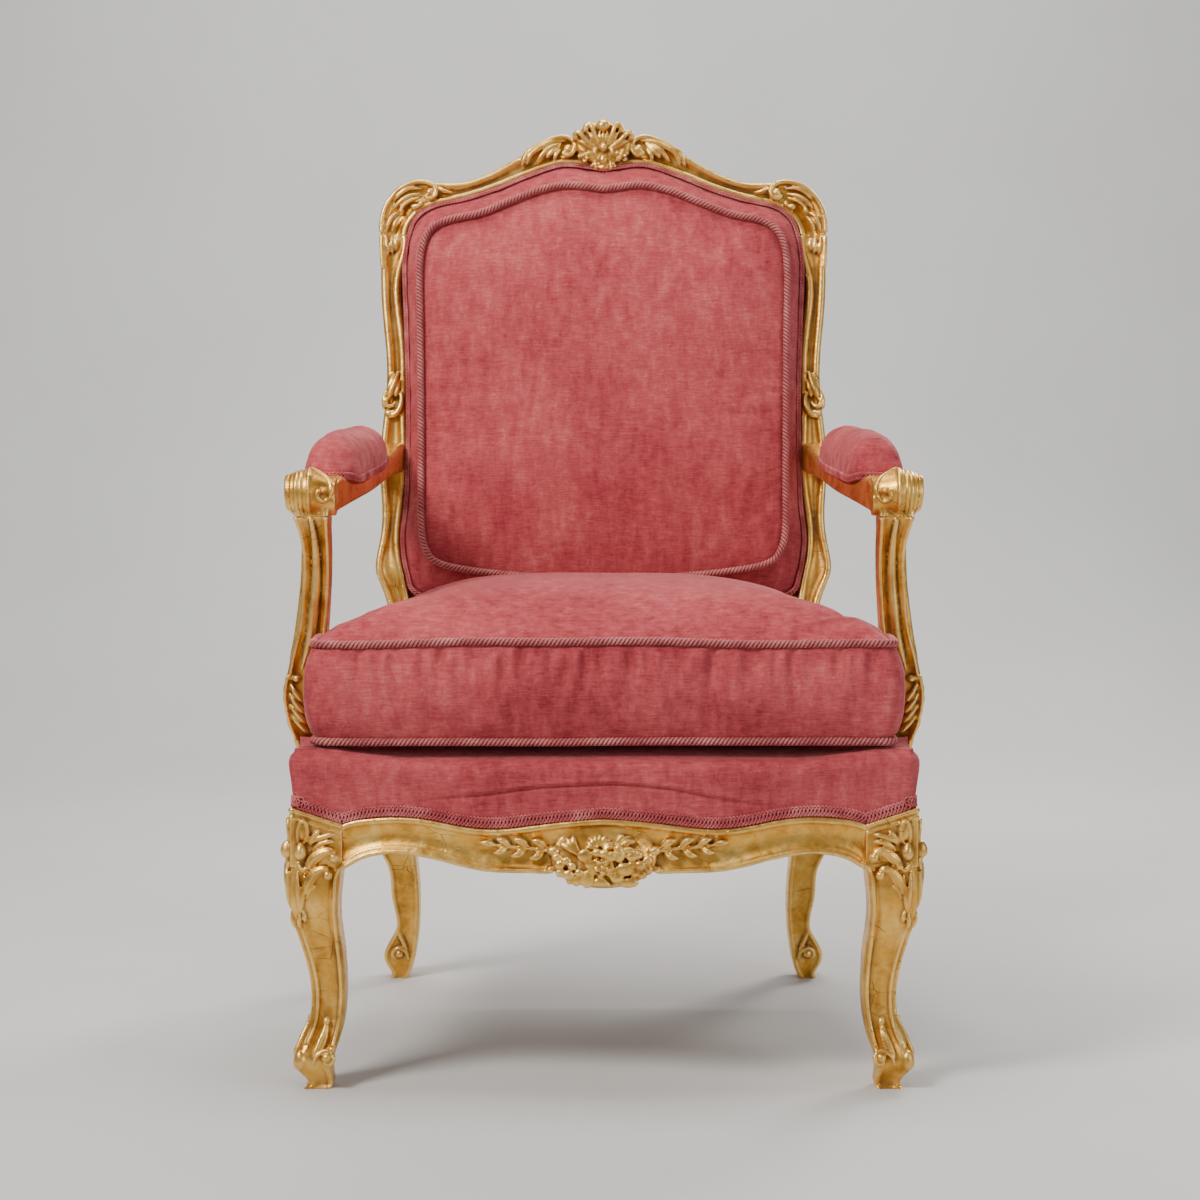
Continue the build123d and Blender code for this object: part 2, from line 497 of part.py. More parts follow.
rear_block = prism(outline, Plane(origin=(0, 0, CORNER_BLOCK_BOTTOM)), height)


def rounded(points, radii, plane):
    """Closed outline of straight runs and tangent arcs; without a radius, an arc takes what its runs allow."""
    vectors = [Vector(*point) for point in points]
    starts, arcs, ends = [], [], []
    for before, vertex, after, radius in zip(vectors[-1:] + vectors[:-1], vectors, vectors[1:] + vectors[:1], radii):
        arrive, leave = (vertex - before), (after - vertex)
        room = min(arrive.length, leave.length) * 0.45
        arrive, leave = arrive.normalized(), leave.normalized()
        half = abs(atan2(arrive.cross(leave).Z, arrive.dot(leave))) / 2
        run = radius * tan(half) if radius else room
        sag = run / tan(half) * (1 / cos(half) - 1)
        starts.append(vertex - arrive * run)
        arcs.append(vertex + (leave - arrive).normalized() * sag)
        ends.append(vertex + leave * run)
    edges = []
    for k in range(len(points)):
        edges.append(ThreePointArc(starts[k], arcs[k], ends[k]))
        edges.append(Line(ends[k], starts[(k + 1) % len(points)]))
    return [plane * edge for edge in edges]


def platform_face(offset, height):
    """Plan of the stuffed seat, grown by an offset, at a height."""
    x, y, r = LEG_OUTER + offset, LEG_FRONT - offset, PLATFORM_CORNER
    arc = r * 0.2929
    side_x, rear_x = LEG_OUTER - SIDE_SETBACK + offset, side_face(1)[0] + offset
    bulge_x, bulge_y = side_face(0.5)
    rear = PLATFORM_REAR + offset
    right = [
        Line((LEG_INNER, y), (x - r, y)),
        ThreePointArc((x - r, y), (x - arc, y + arc), (x, y + r)),
        Line((x, y + r), (side_x, LEG_BACK)),
        ThreePointArc((side_x, LEG_BACK), (bulge_x + offset, bulge_y), (rear_x, POST_FACE)),
        Line((rear_x, POST_FACE), (rear_x, rear)),
    ]
    edges = right + [mirror(edge, about=Plane.YZ) for edge in right]
    edges.append(ThreePointArc((-LEG_INNER, y), (0, front_face(0) - offset), (LEG_INNER, y)))
    edges.append(Line((rear_x, rear), (-rear_x, rear)))
    return Pos(0, 0, height) * make_face(edges)


def platform_form(inset):
    """Stuffed seat as a solid, drawn in by an inset."""
    levels = [(SEAT_TOP - depth - inset * (depth < PLATFORM_LEVELS[1][0]), offset) for depth, offset in PLATFORM_LEVELS]
    skirt = loft([platform_face(offset - inset, z) for z, offset in levels[:2]], ruled=True)
    return skirt + loft([platform_face(offset - inset, z) for z, offset in levels[1:]])


def under_curve(points, plane, amount):
    """Everything below a curved show edge, as a cutter through the cover's skirt."""
    top = [Vector(u, z + EDGE_GAP) for u, z in points]
    bottom = SEAT_TOP - PLATFORM_LEVELS[0][0] - 5
    curve = Spline(*top) if len(top) > 2 else Line(*top)
    frame = Polyline((top[-1].X, top[-1].Y), (top[-1].X, bottom), (top[0].X, bottom), (top[0].X, top[0].Y))
    return extrude(plane * make_face([curve, *frame.edges()]), amount=amount)


# Seat webbing, hessian, stuffing, cover and braid
straps = []
for x in SEAT_WEBS:
    y0 = front_face(abs(x) + WEB_WIDTH / 2) + REBATE + 4
    y1 = REAR_RAIL_FRONT + REAR_RAIL_THICKNESS - 4
    straps.append(block(x - WEB_WIDTH / 2, x + WEB_WIDTH / 2, y0, y1, TACK_TOP, TACK_TOP + WEB_THICKNESS))
nodes["seat_webs_lengthwise"] = Part([solid for strap in straps for solid in strap.solids()])
straps = []
for y in CROSS_WEBS:
    x = side_at(y + WEB_WIDTH / 2) - REBATE - 6
    straps.append(block(-x, x, y - WEB_WIDTH / 2, y + WEB_WIDTH / 2, TACK_TOP + WEB_THICKNESS, WEB_Z))
nodes["seat_webs_crosswise"] = Part([solid for strap in straps for solid in strap.solids()])
post_room = block(POST_INNER - POST_NOTCH, FAR, POST_LOWER[POST_AT_SEAT + 1][3] - POST_NOTCH, FAR, 0, FAR)
foot_room = block(foot_inner - FOOT_NOTCH, FAR, SUPPORT_STATIONS[1][3] - FOOT_NOTCH, foot_back + FOOT_NOTCH, 0, FAR)
rooms = post_room + left_of(post_room) + foot_room + left_of(foot_room)
nodes["seat_hessian"] = extrude(platform_face(-REBATE - 5, WEB_Z), amount=HESSIAN) - rooms
platform = platform_form(0)
stuffing = platform_form(COVER + SOFT_GAP) & block(-FAR, FAR, -FAR, FAR, STUFFING_Z, FAR)
nodes["seat_stuffing"] = largest(stuffing - rooms)
cover = platform - platform_form(COVER) - rooms
facing_front = Plane(origin=(0, LEG_FRONT - FRONT_BOW - 20, 0), x_dir=(1, 0, 0), z_dir=(0, -1, 0))
facing_side = Plane(origin=(FAR, 0, 0), x_dir=(0, 1, 0), z_dir=(1, 0, 0))
cover -= under_curve([(s * LEG_INNER, RAIL_Z + t) for s, t, b in whole_front], facing_front, -(FRONT_BOW + 20 + REBATE + 20))
corner = under_curve([(LEG_INNER, low), edge[1]], facing_front, -(FRONT_BOW + 20 + REBATE + 1))
corner += under_curve([side_edge_line[0], (LEG_BACK, low)], facing_side, -(FAR - LEG_OUTER + REBATE + 1))
sides = under_curve([(side_face(s)[1], RAIL_Z + t) for s, t, b in SIDE_CURVE], facing_side, -(FAR - POST_INNER))
outer_corner = block(LEG_OUTER - 20, FAR, -FAR, LEG_FRONT + 20, 0, high - 8)
for cutter in (corner, sides, outer_corner):
    cover = cover - cutter - left_of(cutter)
cover -= block(-FAR, FAR, REAR_RAIL_FRONT - 1, FAR, 0, STUFFING_Z)
nodes["seat_cover"] = largest(cover)


def braid(places):
    """Strip of braid on the seat: X, Y of the show face, its outward direction and lower edge at each place."""
    sections = []
    for x, y, facing, bottom in places:
        middle = Vector(x, y, bottom + EDGE_GAP + GIMP_WIDTH / 2) - facing * (EDGE_GAP + GIMP_THICKNESS / 2)
        plane = Plane(origin=middle, x_dir=(0, 0, 1), z_dir=Vector(0, 0, 1).cross(facing))
        sections.append(plane * Rectangle(GIMP_WIDTH, GIMP_THICKNESS))
    return loft(sections)


forward, sideways = Vector(0, -1, 0), Vector(1, 0, 0)
front_strip = braid([(s * LEG_INNER, front_face(s * LEG_INNER), forward, RAIL_Z + t) for s, t, b in whole_front])
reach = LEG_OUTER - PLATFORM_CORNER / 2
rise = low + BLOCK_RISE * (reach - LEG_INNER) / LEG_BLOCK
block_strip = braid([(LEG_INNER, LEG_FRONT, forward, low), (reach, LEG_FRONT, forward, rise)])
reach = LEG_FRONT + PLATFORM_CORNER / 2
side_block_strip = braid([(LEG_OUTER, reach, sideways, rise), (LEG_OUTER - SIDE_SETBACK, LEG_BACK, sideways, low)])
side_strip = braid([(*side_face(s), sideways, RAIL_Z + t) for s, t, b in SIDE_CURVE[:-1]]) - foot_room - post_room
strips = [front_strip]
for strip in (block_strip, side_block_strip, side_strip):
    strips += [strip, left_of(strip)]
nodes["seat_gimp"] = Part([solid for strip in strips for solid in strip.solids()])

# Loose cushion
CUSHION_UNDER = SEAT_TOP + CUSHION_LIFT
SEAM_LOW = CUSHION_UNDER + CUSHION_SEAM_LOW
SEAM_HIGH = SEAM_LOW + CUSHION_BOXING
FILLING_EASE = 1.5       # the filling's crown is this much narrower than its cover's inside


def cushion_outline(offset, scale, height, ears=True):
    """T-shaped outline of the cushion, grown by an offset and scaled about its middle."""
    middle = (CUSHION_FRONT + CUSHION_REAR) / 2
    depth = CUSHION_EAR - CUSHION_FRONT
    ear_depth = max(depth * (1 - EAR_FADE * (1 - scale)), EAR_LEAST * scale)
    ear_back = CUSHION_FRONT + offset + ear_depth / scale
    neck, rear = (CUSHION_HALF_NECK + offset, ear_back), (CUSHION_HALF_REAR + offset, CUSHION_REAR + offset)
    ear = (CUSHION_HALF_FRONT - CUSHION_HALF_NECK) * 0.48
    corner = CUSHION_CORNER + offset
    if ears:
        front = CUSHION_HALF_FRONT + offset
        right = [(front, CUSHION_FRONT - offset), (front, ear_back), neck, rear]
        radii = [corner, ear, ear, corner]
    else:
        right = [(neck[0], CUSHION_FRONT - offset), rear]
        radii = [corner, corner]
    points = right + [(-x, y) for x, y in reversed(right)]
    points = [(x * scale, middle + (y - middle) * scale) for x, y in points]
    radii = [radius * scale for radius in radii + radii[::-1]]
    return rounded(points, radii, Plane(origin=(0, 0, height)))


def cushion_sides(inset):
    """Underside and boxing of the cushion as heights and offsets, drawn in by an inset."""
    swell = [(0.0, 0.0), (0.3, 0.85), (0.55, 1.0), (0.8, 0.6), (1.0, 0.0)]
    levels = [(CUSHION_UNDER + inset, -4.0 - inset)]
    return levels + [(SEAM_LOW + CUSHION_BOXING * share, CUSHION_BULGE * out - inset) for share, out in swell]


def cushion_form(inset):
    """The cushion as a solid, drawn in by an inset."""
    outlines = [cushion_outline(offset, 1.0, z) for z, offset in cushion_sides(inset)]
    for rise, scale in CROWN_STEPS:
        outlines.append(cushion_outline(-inset, scale, SEAM_HIGH + CUSHION_CROWN * rise - inset))
    return loft([make_face(outline) for outline in outlines], ruled=True)


def cushion_stuffing(inset):
    """What fills the cushion, without the ears above the upper seam."""
    body = loft([make_face(cushion_outline(offset, 1.0, z)) for z, offset in cushion_sides(inset)], ruled=True)
    levels = [(SEAM_HIGH, 1.0)] + [(SEAM_HIGH + CUSHION_CROWN * rise - inset, scale) for rise, scale in CROWN_STEPS]
    crown = [make_face(cushion_outline(-inset - FILLING_EASE, scale, z, ears=False)) for z, scale in levels]
    return body + loft(crown, ruled=True)


def tube(edges, radius):
    """Round cord along a closed path of runs and arcs."""
    profile = Plane(origin=edges[0] @ 0, z_dir=edges[0] % 0) * Circle(radius)
    return sweep(profile, path=Wire([edge.edge() for edge in edges]))


def cushion_cord(seam, side):
    """Rope piping along a seam, on its outer corner."""
    step = (CORD_RADIUS + CORD_GAP) * 0.7071
    path = cushion_outline(step, 1.0, seam + side * step)
    return tube(path, CORD_RADIUS)


whole = cushion_form(0)
cover = whole - cushion_form(COVER)
nodes["cushion_top"] = largest(cover & block(-FAR, FAR, -FAR, FAR, SEAM_HIGH, FAR))
nodes["cushion_boxing"] = largest(cover & block(-FAR, FAR, -FAR, FAR, SEAM_LOW, SEAM_HIGH))
nodes["cushion_bottom"] = largest(cover & block(-FAR, FAR, -FAR, FAR, 0, SEAM_LOW))
nodes["cushion_filling"] = cushion_stuffing(COVER + SOFT_GAP)
nodes["cushion_cord_upper"] = cushion_cord(SEAM_HIGH, 1)
nodes["cushion_cord_lower"] = cushion_cord(SEAM_LOW, -1)


# Stuffed back, built as X, N, T and then raked
def back_points(share, inset):
    """Half outline between the opening and the piping, drawn in by an inset along its normals."""
    half = [(a + (c - a) * share, b + (d - b) * share) for (a, b), (c, d) in zip(OPENING, PIPING)]
    ring = [(-half[1][0], half[1][1])] + half + [(-half[-2][0], half[-2][1])]
    points = []
    for (x0, t0), (x, t), (x1, t1) in zip(ring, half, ring[2:]):
        length = hypot(x1 - x0, t1 - t0)
        points.append((x + (t1 - t0) / length * inset, t - (x1 - x0) / length * inset))
    return points


def back_face(n, share, inset, scale=1.0):
    """Outline of the back's upholstery as a face across the back."""
    half = [(x * scale, PAD_MIDDLE + (t - PAD_MIDDLE) * scale) for x, t in back_points(share, inset)]
    right = Spline(*half, tangents=[(1, 0), (-1, 0)])
    left = Spline(*[(-x, t) for x, t in half], tangents=[(-1, 0), (1, 0)])
    return Plane(origin=(0, n, 0), x_dir=(1, 0, 0), z_dir=(0, -1, 0)) * make_face([right, left])


def back_slab(n0, n1, inset):
    """Flat slab with the opening's outline."""
    return extrude(back_face(n0, 0, inset), amount=n1 - n0, dir=(0, 1, 0))


def pad_border(inset):
    """Sides of the stuffed back, drawn in by an inset."""
    return loft([back_face(PAD_BACK, 0, OPENING_GAP + inset), back_face(0, 0, OPENING_GAP + inset),
                 back_face(PAD_FRONT, 1, inset)], ruled=True)


def pad_crown(inset):
    """Swelling front of the stuffed back, drawn in by an inset."""
    levels = [(PAD_FRONT + inset, 1.0)] + [(PAD_FRONT - PAD_CROWN * rise + inset, scale) for rise, scale in PAD_STEPS]
    return loft([back_face(n, 1, inset, scale) for n, scale in levels], ruled=True)


border = pad_border(0)
nodes["back_border"] = BACK * largest(border - pad_border(COVER))
nodes["back_panel"] = BACK * largest(pad_crown(0) - pad_crown(COVER))
nodes["back_stuffing"] = BACK * largest(pad_border(COVER + SOFT_GAP) + pad_crown(COVER + SOFT_GAP))
step = CORD_RADIUS + BACK_CORD_GAP
half = back_points(1, -0.62 * step)
ring = half + [(-x, t) for x, t in half[-2:0:-1]]
cord_plane = Plane(origin=(0, PAD_FRONT - 0.78 * step, 0), x_dir=(1, 0, 0), z_dir=(0, -1, 0))
nodes["back_cord"] = BACK * tube(rounded(ring, [None] * len(ring), cord_plane), CORD_RADIUS)
ends = (0.5, 0.5 + BACK_GIMP_WIDTH)
outer, inner = [
    loft([back_face(-n, -n / PAD_FRONT, OPENING_GAP * (1 + n / PAD_FRONT) - out) for n in ends], ruled=True)
    for out in (GIMP_THICKNESS, EDGE_GAP)]
nodes["back_gimp"] = BACK * largest(outer - inner)
hessian_back = BACK_LEDGE + HESSIAN
nodes["back_hessian"] = BACK * back_slab(BACK_LEDGE, hessian_back, BACK_LEDGE_ROOM - BACK_LEDGE_WIDTH)
ledge = BACK * back_slab(BACK_LEDGE, BACK_DEPTH + 10, -BACK_LEDGE_WIDTH)
lap = BACK_LEDGE_WIDTH - 3
top_edge = sorted(OPENING[:8])
bottom_edge = sorted(OPENING[-4:])
side_edge = sorted((t, x) for x, t in OPENING[8:15])
straps = []
for x in BACK_UPRIGHT_WEBS:
    reach = abs(x) + WEB_WIDTH / 2
    t0, t1 = between(bottom_edge, reach)[0] - lap, between(top_edge, reach)[0] + lap
    straps.append(BACK * block(x - WEB_WIDTH / 2, x + WEB_WIDTH / 2, hessian_back, hessian_back + WEB_THICKNESS, t0, t1))
nodes["back_webs_upright"] = Part([solid for strap in straps for solid in strap.solids()])
web_front = hessian_back + WEB_THICKNESS
straps = []
for t in BACK_CROSS_WEBS:
    ends = [between(side_edge, t - WEB_WIDTH / 2)[0], between(side_edge, min(t + WEB_WIDTH / 2, side_edge[-1][0]))[0]]
    x = min(ends) + lap
    straps.append(BACK * block(-x, x, web_front, web_front + WEB_THICKNESS, t - WEB_WIDTH / 2, t + WEB_WIDTH / 2))
nodes["back_webs_crosswise"] = Part([solid for strap in straps for solid in strap.solids()])
outside = BACK_DEPTH + COVER
nodes["outside_back"] = BACK * back_slab(BACK_DEPTH, outside, -OUTSIDE_LAP)
nodes["outside_back_gimp"] = BACK * (back_slab(outside, outside + GIMP_THICKNESS, -OUTSIDE_LAP)
                                     - back_slab(outside - 1, outside + 5, BACK_GIMP_WIDTH - OUTSIDE_LAP))
opening = BACK * back_slab(PAD_FRONT, BACK_LEDGE + 1, OPENING_GAP - WOOD_GAP)
post = largest(post - ledge - opening)
crest = largest(crest - ledge - opening)
back_rail = largest(back_rail - ledge - opening)


# Arm pads
def arm_flat(y):
    """Middle, half width and height of the flat on the right arm."""
    inner, width, under, height = between(ARM_STATIONS, y)
    return inner + width / 2, width / 2, under + height - PAD_SEAT


def pad_form(inset):
    """Arm pad as a solid, drawn in by an inset."""
    sections = []
    last = len(ARM_PAD) - 1
    for k, (y, over, height) in enumerate(ARM_PAD):
        middle, half, base = arm_flat(y)
        a, h = half + over - inset, height - inset
        place = y + inset * ((k == 0) - (k == last))
        edges = [
            Line((-a, 0), (a, 0)),
            ThreePointArc((a, 0), (a * 1.03, h * 0.45), (a * 0.72, h * 0.86)),
            ThreePointArc((a * 0.72, h * 0.86), (0, h), (-a * 0.72, h * 0.86)),
            ThreePointArc((-a * 0.72, h * 0.86), (-a * 1.03, h * 0.45), (-a, 0)),
        ]
        plane = Plane(origin=(middle, place, base), x_dir=(1, 0, 0), z_dir=(0, -1, 0))
        sections.append(plane * make_face(edges))
    return loft(sections, ruled=True)


def pad_band(margin, bottom, top, ends):
    """Band along the arm pad's lower edge, wider than the pad by a margin."""
    sections = []
    last = len(ARM_PAD) - 1
    for k, (y, over, height) in enumerate(ARM_PAD):
        middle, half, base = arm_flat(y)
        place = y + ends * ((k == last) - (k == 0))
        plane = Plane(origin=(middle, place, base + (bottom + top) / 2), x_dir=(1, 0, 0), z_dir=(0, -1, 0))
        sections.append(plane * Rectangle(2 * (half * 1.03 + over + margin), top - bottom))
    return loft(sections, ruled=True)


pad = pad_form(0)
pad_parts = {"arm_pad_cover": largest(pad - pad_form(COVER)), "arm_pad_stuffing": pad_form(COVER + SOFT_GAP),
             "arm_pad_gimp": largest(pad_band(GIMP_THICKNESS, 0, BACK_GIMP_WIDTH, GIMP_THICKNESS) - pad)}
arm = largest(arm - pad_band(20, 0, 60, GIMP_THICKNESS + 0.5))

# Every piece by name
sides = {"front_leg": leg, "rear_post": post, "side_rail": side_rail, "arm_support": support, "arm": arm, **pad_parts}
for name, shape in sides.items():
    nodes[name + "_right"] = shape
    nodes[name + "_left"] = left_of(shape)
nodes["front_rail"] = front_rail
nodes["rear_rail"] = rear_rail
nodes["crest_rail"] = crest
nodes["back_lower_rail"] = back_rail
nodes["front_corner_blocks"] = pair(front_block)
nodes["rear_corner_blocks"] = pair(rear_block)
nodes["frame_pegs"] = Part([solid for peg in pegs for solid in [*peg.solids(), *left_of(peg).solids()]])

# Centre the chair front to back and write one file for each piece
boxes = [shape.bounding_box() for shape in nodes.values()]
middle = (min(box.min.Y for box in boxes) + max(box.max.Y for box in boxes)) / 2
os.makedirs("parts", exist_ok=True)
for name, shape in nodes.items():
    export_step(Pos(0, -middle, 0) * shape, f"parts/{name}.step")
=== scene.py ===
from math import cos, pi, radians, sin

import bmesh
import bpy
import numpy as np
from mathutils import Matrix, Vector


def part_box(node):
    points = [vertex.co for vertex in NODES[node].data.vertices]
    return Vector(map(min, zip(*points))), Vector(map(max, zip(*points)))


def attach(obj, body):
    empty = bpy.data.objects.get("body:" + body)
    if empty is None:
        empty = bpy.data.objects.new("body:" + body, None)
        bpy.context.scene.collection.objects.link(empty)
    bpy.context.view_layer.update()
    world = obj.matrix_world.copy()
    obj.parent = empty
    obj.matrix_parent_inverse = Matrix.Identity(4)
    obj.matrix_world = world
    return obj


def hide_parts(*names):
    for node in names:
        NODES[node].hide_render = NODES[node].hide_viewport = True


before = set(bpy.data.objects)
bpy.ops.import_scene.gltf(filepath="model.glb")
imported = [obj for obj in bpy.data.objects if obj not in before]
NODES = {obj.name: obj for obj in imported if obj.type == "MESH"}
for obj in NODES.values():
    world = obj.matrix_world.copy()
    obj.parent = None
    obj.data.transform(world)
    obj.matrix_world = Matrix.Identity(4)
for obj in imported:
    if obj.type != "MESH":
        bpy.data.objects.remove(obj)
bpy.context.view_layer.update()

SHIFT = 470.0 - 1000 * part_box("rear_rail")[0].y      # mm from the drawing's front datum to the chair's middle
ORIGIN, MM = np.array([0.0, SHIFT, 0.0]), 0.001
RAKE, BACK_Y, BACK_Z = radians(9.12), 480.0, 462.0   # slope and foot of the back's front face
BACK_OUT = np.array([0.0, -cos(RAKE), sin(RAKE)])
BACK_UP = np.array([0.0, sin(RAKE), cos(RAKE)])
RIGHT, FRONT, UP = np.eye(3)[0], -np.eye(3)[1], np.eye(3)[2]
ROPE_RADIUS, ROPE_PITCH, GIMP_PERIOD = 4.1, 12.8, 7.4
SEAT_GIMP, FINE_GIMP = 10.0, 7.0                     # width of the braid round the seat, and of the others
CLOTH_FRAMES = 20


# Points, in mm with Y from the front datum
def metres(points):
    return (np.asarray(points, float) - ORIGIN) * MM


def back(x, t, n):
    """Points of the raked back: X, T up its slope and N behind its front face."""
    x, t, n = np.broadcast_arrays(np.asarray(x, float), np.asarray(t, float), np.asarray(n, float))
    return np.stack([x, BACK_Y + n * cos(RAKE) + t * sin(RAKE), BACK_Z - n * sin(RAKE) + t * cos(RAKE)], -1)


def run_of(line):
    """Distance along a line at each of its points."""
    return np.concatenate([[0.0], np.cumsum(np.linalg.norm(np.diff(line, axis=0), axis=1))])


def even(line, count, closed=True):
    """Points at even distances along a line."""
    line = np.asarray(line, float)
    if closed:
        line = np.concatenate([line, line[:1]])
    run = run_of(line)
    want = np.linspace(0, run[-1], count, endpoint=not closed)
    return np.stack([np.interp(want, run, column) for column in line.T], 1)


def curve(p, steps):
    """Runs of a smooth curve through points, from the second to the last but one."""
    t = np.linspace(0, 1, steps, endpoint=False)[:, None]
    return [b + 0.5 * t * ((c - a) + t * ((2 * a - 5 * b + 4 * c - d) + t * (3 * b - a - 3 * c + d)))
            for a, b, c, d in zip(p, p[1:], p[2:], p[3:])]


def spline(points, count):
    """Even points along a smooth open curve through the given ones."""
    p = np.asarray(points, float)
    p = np.concatenate([2 * p[:1] - p[1:2], p, 2 * p[-1:] - p[-2:-1]])
    return even(np.concatenate(curve(p, 24) + [p[-2:-1]]), count, closed=False)


def unit(v):
    return v / np.maximum(np.linalg.norm(v, axis=-1, keepdims=True), 1e-9)


def along(ring):
    return np.roll(ring, -1, 0) - np.roll(ring, 1, 0)


def rightward(step):
    """Level directions to the right of the steps along a line."""
    return unit(np.stack([step[:, 1], -step[:, 0]], 1))


def level(directions):
    return np.pad(directions, ((0, 0), (0, 1)))


def frames(path, closed):
    """Two directions across a path that turn as little as possible."""
    tangent = along(path)
    if not closed:
        tangent[0], tangent[-1] = path[1] - path[0], path[-1] - path[-2]
    tangent = unit(tangent)
    n = np.cross(tangent[0], np.eye(3)[np.argmin(abs(tangent[0]))])
    normal = np.zeros_like(path)
    for k, t in enumerate(tangent):
        n = unit(n - t * (n @ t))
        normal[k] = n
    other = np.cross(tangent, normal)
    if closed:
        n = unit(n - tangent[0] * (n @ tangent[0]))
        twist = np.arctan2(n @ other[0], n @ normal[0])
        a = -twist * np.arange(len(path)) / len(path)
        normal, other = (normal * np.cos(a)[:, None] + other * np.sin(a)[:, None],
                         other * np.cos(a)[:, None] - normal * np.sin(a)[:, None])
    return normal, other


# Meshes as points and faces
def grid(points, loop_rows=False, loop_columns=True):
    rows, columns = points.shape[:2]
    i = np.arange(rows * columns).reshape(rows, columns)
    after = np.roll(i, -1, 0)
    quads = np.stack([i, np.roll(i, -1, 1), np.roll(after, -1, 1), after], -1)
    if not loop_rows:
        quads = quads[:-1]
    if not loop_columns:
        quads = quads[:, :-1]
    return points.reshape(-1, 3), quads.reshape(-1, 4).tolist()


def capped(rings):
    """Closed skin over rings of points."""
    rows, columns = rings.shape[:2]
    points, faces = grid(rings)
    return points, faces + [list(range(columns))[::-1], list(range((rows - 1) * columns, rows * columns))]


def filled(rings):
    """Flat skin over rings of points, closed at its innermost one."""
    points, faces = grid(np.stack(rings))
    return points, faces + [list(range(len(points) - len(rings[0]), len(points)))]


def spokes(path, sides, closed):
    """Angles and directions round each point of a path."""
    normal, other = frames(path, closed)
    a = np.arange(sides) * 2 * pi / sides
    return a, np.cos(a)[:, None] * normal[:, None] + np.sin(a)[:, None] * other[:, None]


def tube(path, radius, sides=8, closed=False):
    radius = np.broadcast_to(np.asarray(radius, float), (len(path),))[:, None, None]
    rings = path[:, None] + radius * spokes(path, sides, closed)[1]
    return grid(rings, loop_rows=True) if closed else capped(rings)


def braid(path, across, out, width, closed=True):
    """Gimp: two strands crossing to and fro between two looped edge cords, on a woven strip that takes the
    second material, dark as painted shade between the strands.
    """
    wave = 2 * pi * round(run_of(path)[-1] / GIMP_PERIOD) * np.linspace(0, 1, len(path), endpoint=not closed)
    pieces = []
    for sign in (1, -1):
        strand = sign * 0.3 * width * np.sin(wave), 1.0 + 0.5 * sign * np.cos(wave), 0.95
        loops = sign * width * (0.4 + 0.1 * np.cos(2 * wave)), 1.0 + 0.4 * np.sin(2 * wave), 1.0
        for sideways, lift, radius in (strand, loops):
            pieces.append(tube(path + (across * sideways[:, None] + out * lift[:, None]), radius, 5, closed))
    corners = ((-0.36, 0.1), (-0.36, 0.6), (0.36, 0.6), (0.36, 0.1))
    strip = np.stack([path + across * a * width + out * b for a, b in corners], 1)
    return pieces + [(*grid(strip, loop_rows=closed), 1)]


def mirrored(pieces):
    return [(points * np.array([-1, 1, 1]), [face[::-1] for face in faces], *shade)
            for points, faces, *shade in pieces]


def build(name, pieces):
    """A smooth mesh object in the shared frame, not yet riding on anything; a piece may name its shade."""
    points, faces, shades, start = [], [], [], 0
    for p, f, *shade in pieces:
        points.append(metres(p))
        faces.extend([[k + start for k in face] for face in f])
        shades.extend([shade[0] if shade else 0] * len(f))
        start += len(p)
    mesh = bpy.data.meshes.new(name)
    mesh.from_pydata(np.concatenate(points).tolist(), [], faces)
    bm = bmesh.new()
    bm.from_mesh(mesh)
    bmesh.ops.recalc_face_normals(bm, faces=bm.faces)
    bm.to_mesh(mesh)
    bm.free()
    mesh.polygons.foreach_set("use_smooth", [True] * len(mesh.polygons))
    mesh.polygons.foreach_set("material_index", shades)
    return linked(bpy.data.objects.new(name, mesh))


def linked(obj):
    bpy.context.scene.collection.objects.link(obj)
    return obj


def place(obj, material, slot, body, *nodes):
    """Dress a piece, hang it on its body and let it stand for its nodes."""
    shades = np.zeros(len(obj.data.polygons), np.int32)
    obj.data.polygons.foreach_get("material_index", shades)
    obj.data.materials.clear()
    for shade in material if isinstance(material, tuple) else (material,):
        obj.data.materials.append(shade)
    obj.data.polygons.foreach_set("material_index", shades)
    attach(obj, body)
    if nodes:
        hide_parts(*nodes)
    return obj


def worked(mesh, shape):
    """Move the points of a piece's own mesh by a rule in mm."""
    points = np.zeros(len(mesh.vertices) * 3, np.float32)
    mesh.vertices.foreach_get("co", points)
    points = shape(points.reshape(-1, 3) * 1000.0 + ORIGIN)
    mesh.vertices.foreach_set("co", ((points - ORIGIN) * MM).astype(np.float32).ravel())
    mesh.update()


def keep(mesh, depth):
    """Keep how deep each point lies with its mesh, for the shaders."""
    mesh.attributes.new("hollow", "FLOAT", "POINT").data.foreach_set("value", depth.astype(np.float32))


def hollows(mesh, passes=36):
    """Keep with a mesh how far each point lies below its smoothed skin: 0.5 is level, 1 is 2 mm deep."""
    count = len(mesh.vertices)
    points, normals, edges = np.zeros(3 * count), np.zeros(3 * count), np.zeros(2 * len(mesh.edges), np.int64)
    mesh.vertices.foreach_get("co", points)
    mesh.vertices.foreach_get("normal", normals)
    mesh.edges.foreach_get("vertices", edges)
    points, (a, b) = points.reshape(-1, 3), edges.reshape(-1, 2).T
    near = np.maximum(np.bincount(edges, minlength=count), 1)
    smooth = points.T.copy()
    for _ in range(passes):
        for row in smooth:
            row[:] = 0.5 * row + 0.5 * (np.bincount(a, row[b], count) + np.bincount(b, row[a], count)) / near
    depth = 1000 * ((smooth.T - points) * normals.reshape(-1, 3)).sum(1)
    keep(mesh, np.clip(0.5 + 0.25 * depth, 0, 1))


